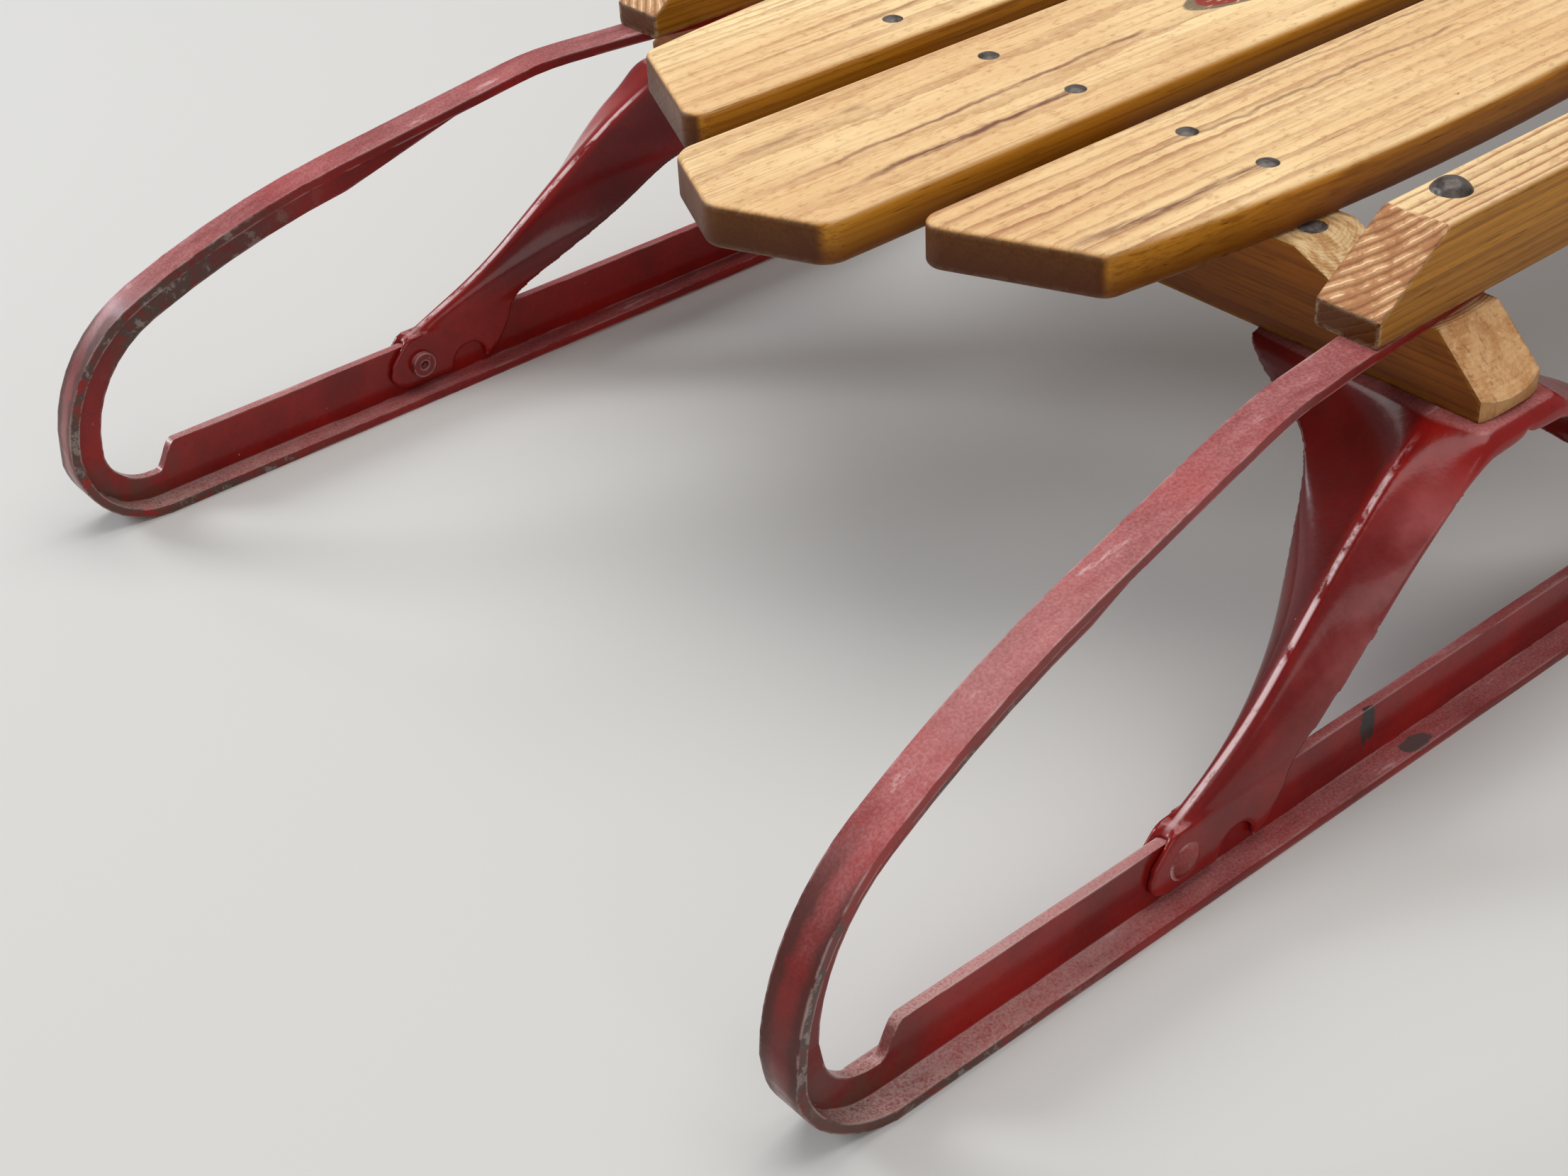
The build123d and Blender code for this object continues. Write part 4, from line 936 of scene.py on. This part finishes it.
# %% Sections of a leg
# One row per section, from the plate's middle to the foot, in millimetres from the crossbar's middle. Its first
# line has the inner edge, two places on the gusset and the ridge's inner side, and its second line has the
# ridge's outer side, the trough, the roll and the outer edge.
leg_cage = [
    [(96, 0, 87.3), (110, 0, 87.3), (134, 0, 87.3), (153, 0, 87.3),
     (160, 0, 87.3), (168, 0, 87.3), (174, 0, 86.8), (175, 0, 81.8)],
    [(96, 8, 87.3), (110, 9, 87.3), (134, 9, 87.3), (153, 9, 87.3),
     (160, 9, 87.3), (168, 9, 87.3), (174, 9, 86.8), (175, 9, 81.6)],
    [(97, 13, 87.2), (110, 15, 87.3), (134, 15, 87.3), (153, 15, 87.3),
     (160, 15, 87.3), (168, 15, 87.2), (174, 15, 86.5), (175, 14.5, 81.2)],
    [(98, 16.5, 85.8), (111, 17.8, 85.6), (134, 18, 85.6), (154, 19, 85.7),
     (160, 19.5, 85.7), (166.5, 18.6, 85.3), (174, 18.6, 84.4), (175.2, 18.4, 79.8)],
    [(103.5, 18.3, 80.8), (119, 19.2, 80.8), (141, 23, 80.8), (155.4, 28.6, 80.8),
     (160, 29.6, 80.8), (165.5, 25.4, 80.8), (172.6, 24, 80.4), (175.2, 22.8, 77.6)],
    [(110, 19.6, 77.3), (125, 22.5, 77), (145, 30, 76.3), (157.6, 38, 75.6),
     (161.6, 39, 75.6), (166.2, 34, 75.6), (172.8, 30.8, 75.4), (175.5, 29.2, 74.6)],
    [(125, 26, 75.4), (134, 30.5, 73), (149, 39.5, 70), (159.4, 48, 68.5),
     (163, 49, 68.5), (167.2, 43, 68.5), (173, 39.2, 68.5), (175.7, 37, 68.3)],
    [(133.5, 34.5, 69), (141, 42, 64.5), (153, 52.5, 61.5), (161.2, 59.4, 60.3),
     (164.6, 60.6, 60.3), (168.6, 54, 60.3), (173.3, 49, 60.3), (175.8, 46, 60.3)],
    [(141, 47.5, 54.5), (148, 56, 51), (157, 68, 49), (163, 75, 48),
     (166.6, 76.2, 48), (170, 69.4, 48), (173.3, 60.8, 48), (175.4, 56, 48)],
    [(151, 64, 40), (155.5, 73.5, 38), (160.6, 85, 36.5), (164.8, 90.8, 36),
     (169, 92, 36), (171.4, 84.4, 36), (173.4, 72.7, 36), (174.5, 66, 36)],
    [(160.5, 74, 30), (162.6, 86, 28.6), (164.8, 100, 27.4), (166.6, 109.8, 27),
     (171.2, 110.8, 27), (172.6, 101, 27), (173.1, 86, 27), (173.6, 73, 28.5)],
    [(165.9, 80, 22.5), (166, 95, 21), (166, 112, 21), (166.5, 122, 21.8),
     (172.2, 122, 21.8), (172.6, 112, 21), (172.7, 95, 21), (172.8, 80, 22)],
    [(166, 81, 17), (166, 95, 16), (166, 112, 17), (166.5, 124, 20.9),
     (172.2, 124, 20.9), (172.6, 112, 17), (172.6, 95, 16), (172.6, 81, 17)],
]
rows, columns = len(leg_cage), len(leg_cage[0])
print("sections", rows, "columns", columns)

# %% One leg from its cage
sheet_thickness, leg_smoothing = 0.002, 3
rear_bar_y = middle_y("crossbar_rear")


def modified(piece):
    """The mesh that a piece's modifiers make. The piece itself was only the way to it."""
    mesh = bpy.data.meshes.new_from_object(piece.evaluated_get(bpy.context.evaluated_depsgraph_get()))
    bpy.data.objects.remove(piece)
    return mesh


def leg_sheet(bar_y):
    bm = bmesh.new()
    bmesh.ops.create_grid(bm, x_segments=columns - 1, y_segments=rows - 1, size=1)
    for vert in bm.verts:
        row = round((1 - vert.co.y) / 2 * (rows - 1))
        column = round((vert.co.x + 1) / 2 * (columns - 1))
        x, y, z = leg_cage[row][column]
        vert.co = (x / 1000, bar_y + y / 1000, z / 1000)
    bmesh.ops.recalc_face_normals(bm, faces=bm.faces)
    if sum(face.normal.y for face in bm.faces) < 0:
        bmesh.ops.reverse_faces(bm, faces=bm.faces)
    leg = mesh_object(bm, "leg_cage")
    smooth = leg.modifiers.new("rounded", "SUBSURF")
    smooth.levels = smooth.render_levels = leg_smoothing
    thick = leg.modifiers.new("sheet", "SOLIDIFY")
    thick.thickness, thick.offset = sheet_thickness, -1
    return modified(leg)


rear_leg = leg_sheet(rear_bar_y)
print("a leg has", len(rear_leg.polygons), "faces")

# %% Weld the legs and the cheeks into one stand
voxel, foot_cut = 0.0008, 0.0225


def turn_end_for_end(mesh, across_y):
    """Mirrors a mesh across the sled at one place along it, and turns its faces out again."""
    mesh.transform(Matrix.Translation((0, 2 * across_y, 0)) @ Matrix.Scale(-1, 4, (0, 1, 0)))
    mesh.flip_normals()


bm = copy_of("standard_rear_left")
cut = cut_across(bm, (0, 0, foot_cut), (0, 0, 1), clear_outer=True)
bmesh.ops.holes_fill(bm, edges=[item for item in cut["geom_cut"] if isinstance(item, bmesh.types.BMEdge)])
bm.from_mesh(rear_leg)
turn_end_for_end(rear_leg, rear_bar_y)
bm.from_mesh(rear_leg)
rear_stand = mesh_object(bm, "stand_parts")
skin = rear_stand.modifiers.new("skin", "REMESH")
skin.mode, skin.voxel_size = "VOXEL", voxel
rear_stand = modified(rear_stand)
front_stand = rear_stand.copy()
turn_end_for_end(front_stand, (rear_bar_y + front_bar_y) / 2)
print("a stand has", len(rear_stand.polygons), "faces")

# %% [markdown]
# ## Four stands from one
# One die pressed all four, so one mesh makes them: the front pair is the rear pair turned end for end, and the
# right ones are the left ones mirrored. A voxel remesh leaves fine steps, which two rounds of smoothing take
# out. A mirrored mesh is inside out, so its faces are reversed.

# %% Place the four stands
smoothing_rounds, stand_smooth_angle = 2, 60
for end, mesh in (("rear", rear_stand), ("front", front_stand)):
    for side, mirrored in (("left", False), ("right", True)):
        bm = bmesh.new()
        bm.from_mesh(mesh)
        for _ in range(smoothing_rounds):
            bmesh.ops.smooth_vert(bm, verts=bm.verts, factor=0.5, use_axis_x=True, use_axis_y=True, use_axis_z=True)
        if mirrored:
            bmesh.ops.scale(bm, verts=bm.verts, vec=(-1, 1, 1))
            bmesh.ops.reverse_faces(bm, faces=bm.faces)
        stand = finish_piece(bm, "pressed_stand_" + end + "_" + side, stand_paint, stand_smooth_angle)
        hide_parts("standard_" + end + "_" + side)
        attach(stand, "sled_frame")
        print(stand.name, len(stand.data.polygons), "faces")

# %% [markdown]
# ## Finishes of the CAD nodes
# A node whose shape is already right keeps it, and takes a finish in its material slot. A node is named after
# what it is or holds, so the start of its name says which finish it takes, and the first match counts. Any other
# node is a plain rivet, or is hidden because a piece stands for it.

# %% Give the nodes their finishes
finish_by_name = {
    "deck_slat_centre": centre_finish, "deck_slat_left": left_finish, "deck_slat_right": right_finish,
    "crossbar": crossbar_finish, "steering_bar": bar_finish, "steering_tongue": runner_paint,
    "bumper_rivet_tails": rivet_steel, "bumper_pin": bolt_steel, "bumper": runner_paint,
    "pivot": bolt_steel, "tongue_screws": bolt_steel, "saddle_rivets": nail_steel, "foot_rivets": head_paint,
}
for name, node in nodes.items():
    named = [finish for start, finish in finish_by_name.items() if name.startswith(start)]
    node.data.materials.clear()
    node.data.materials.append(named[0] if named else rivet_steel)
print("finished nodes", len(nodes))
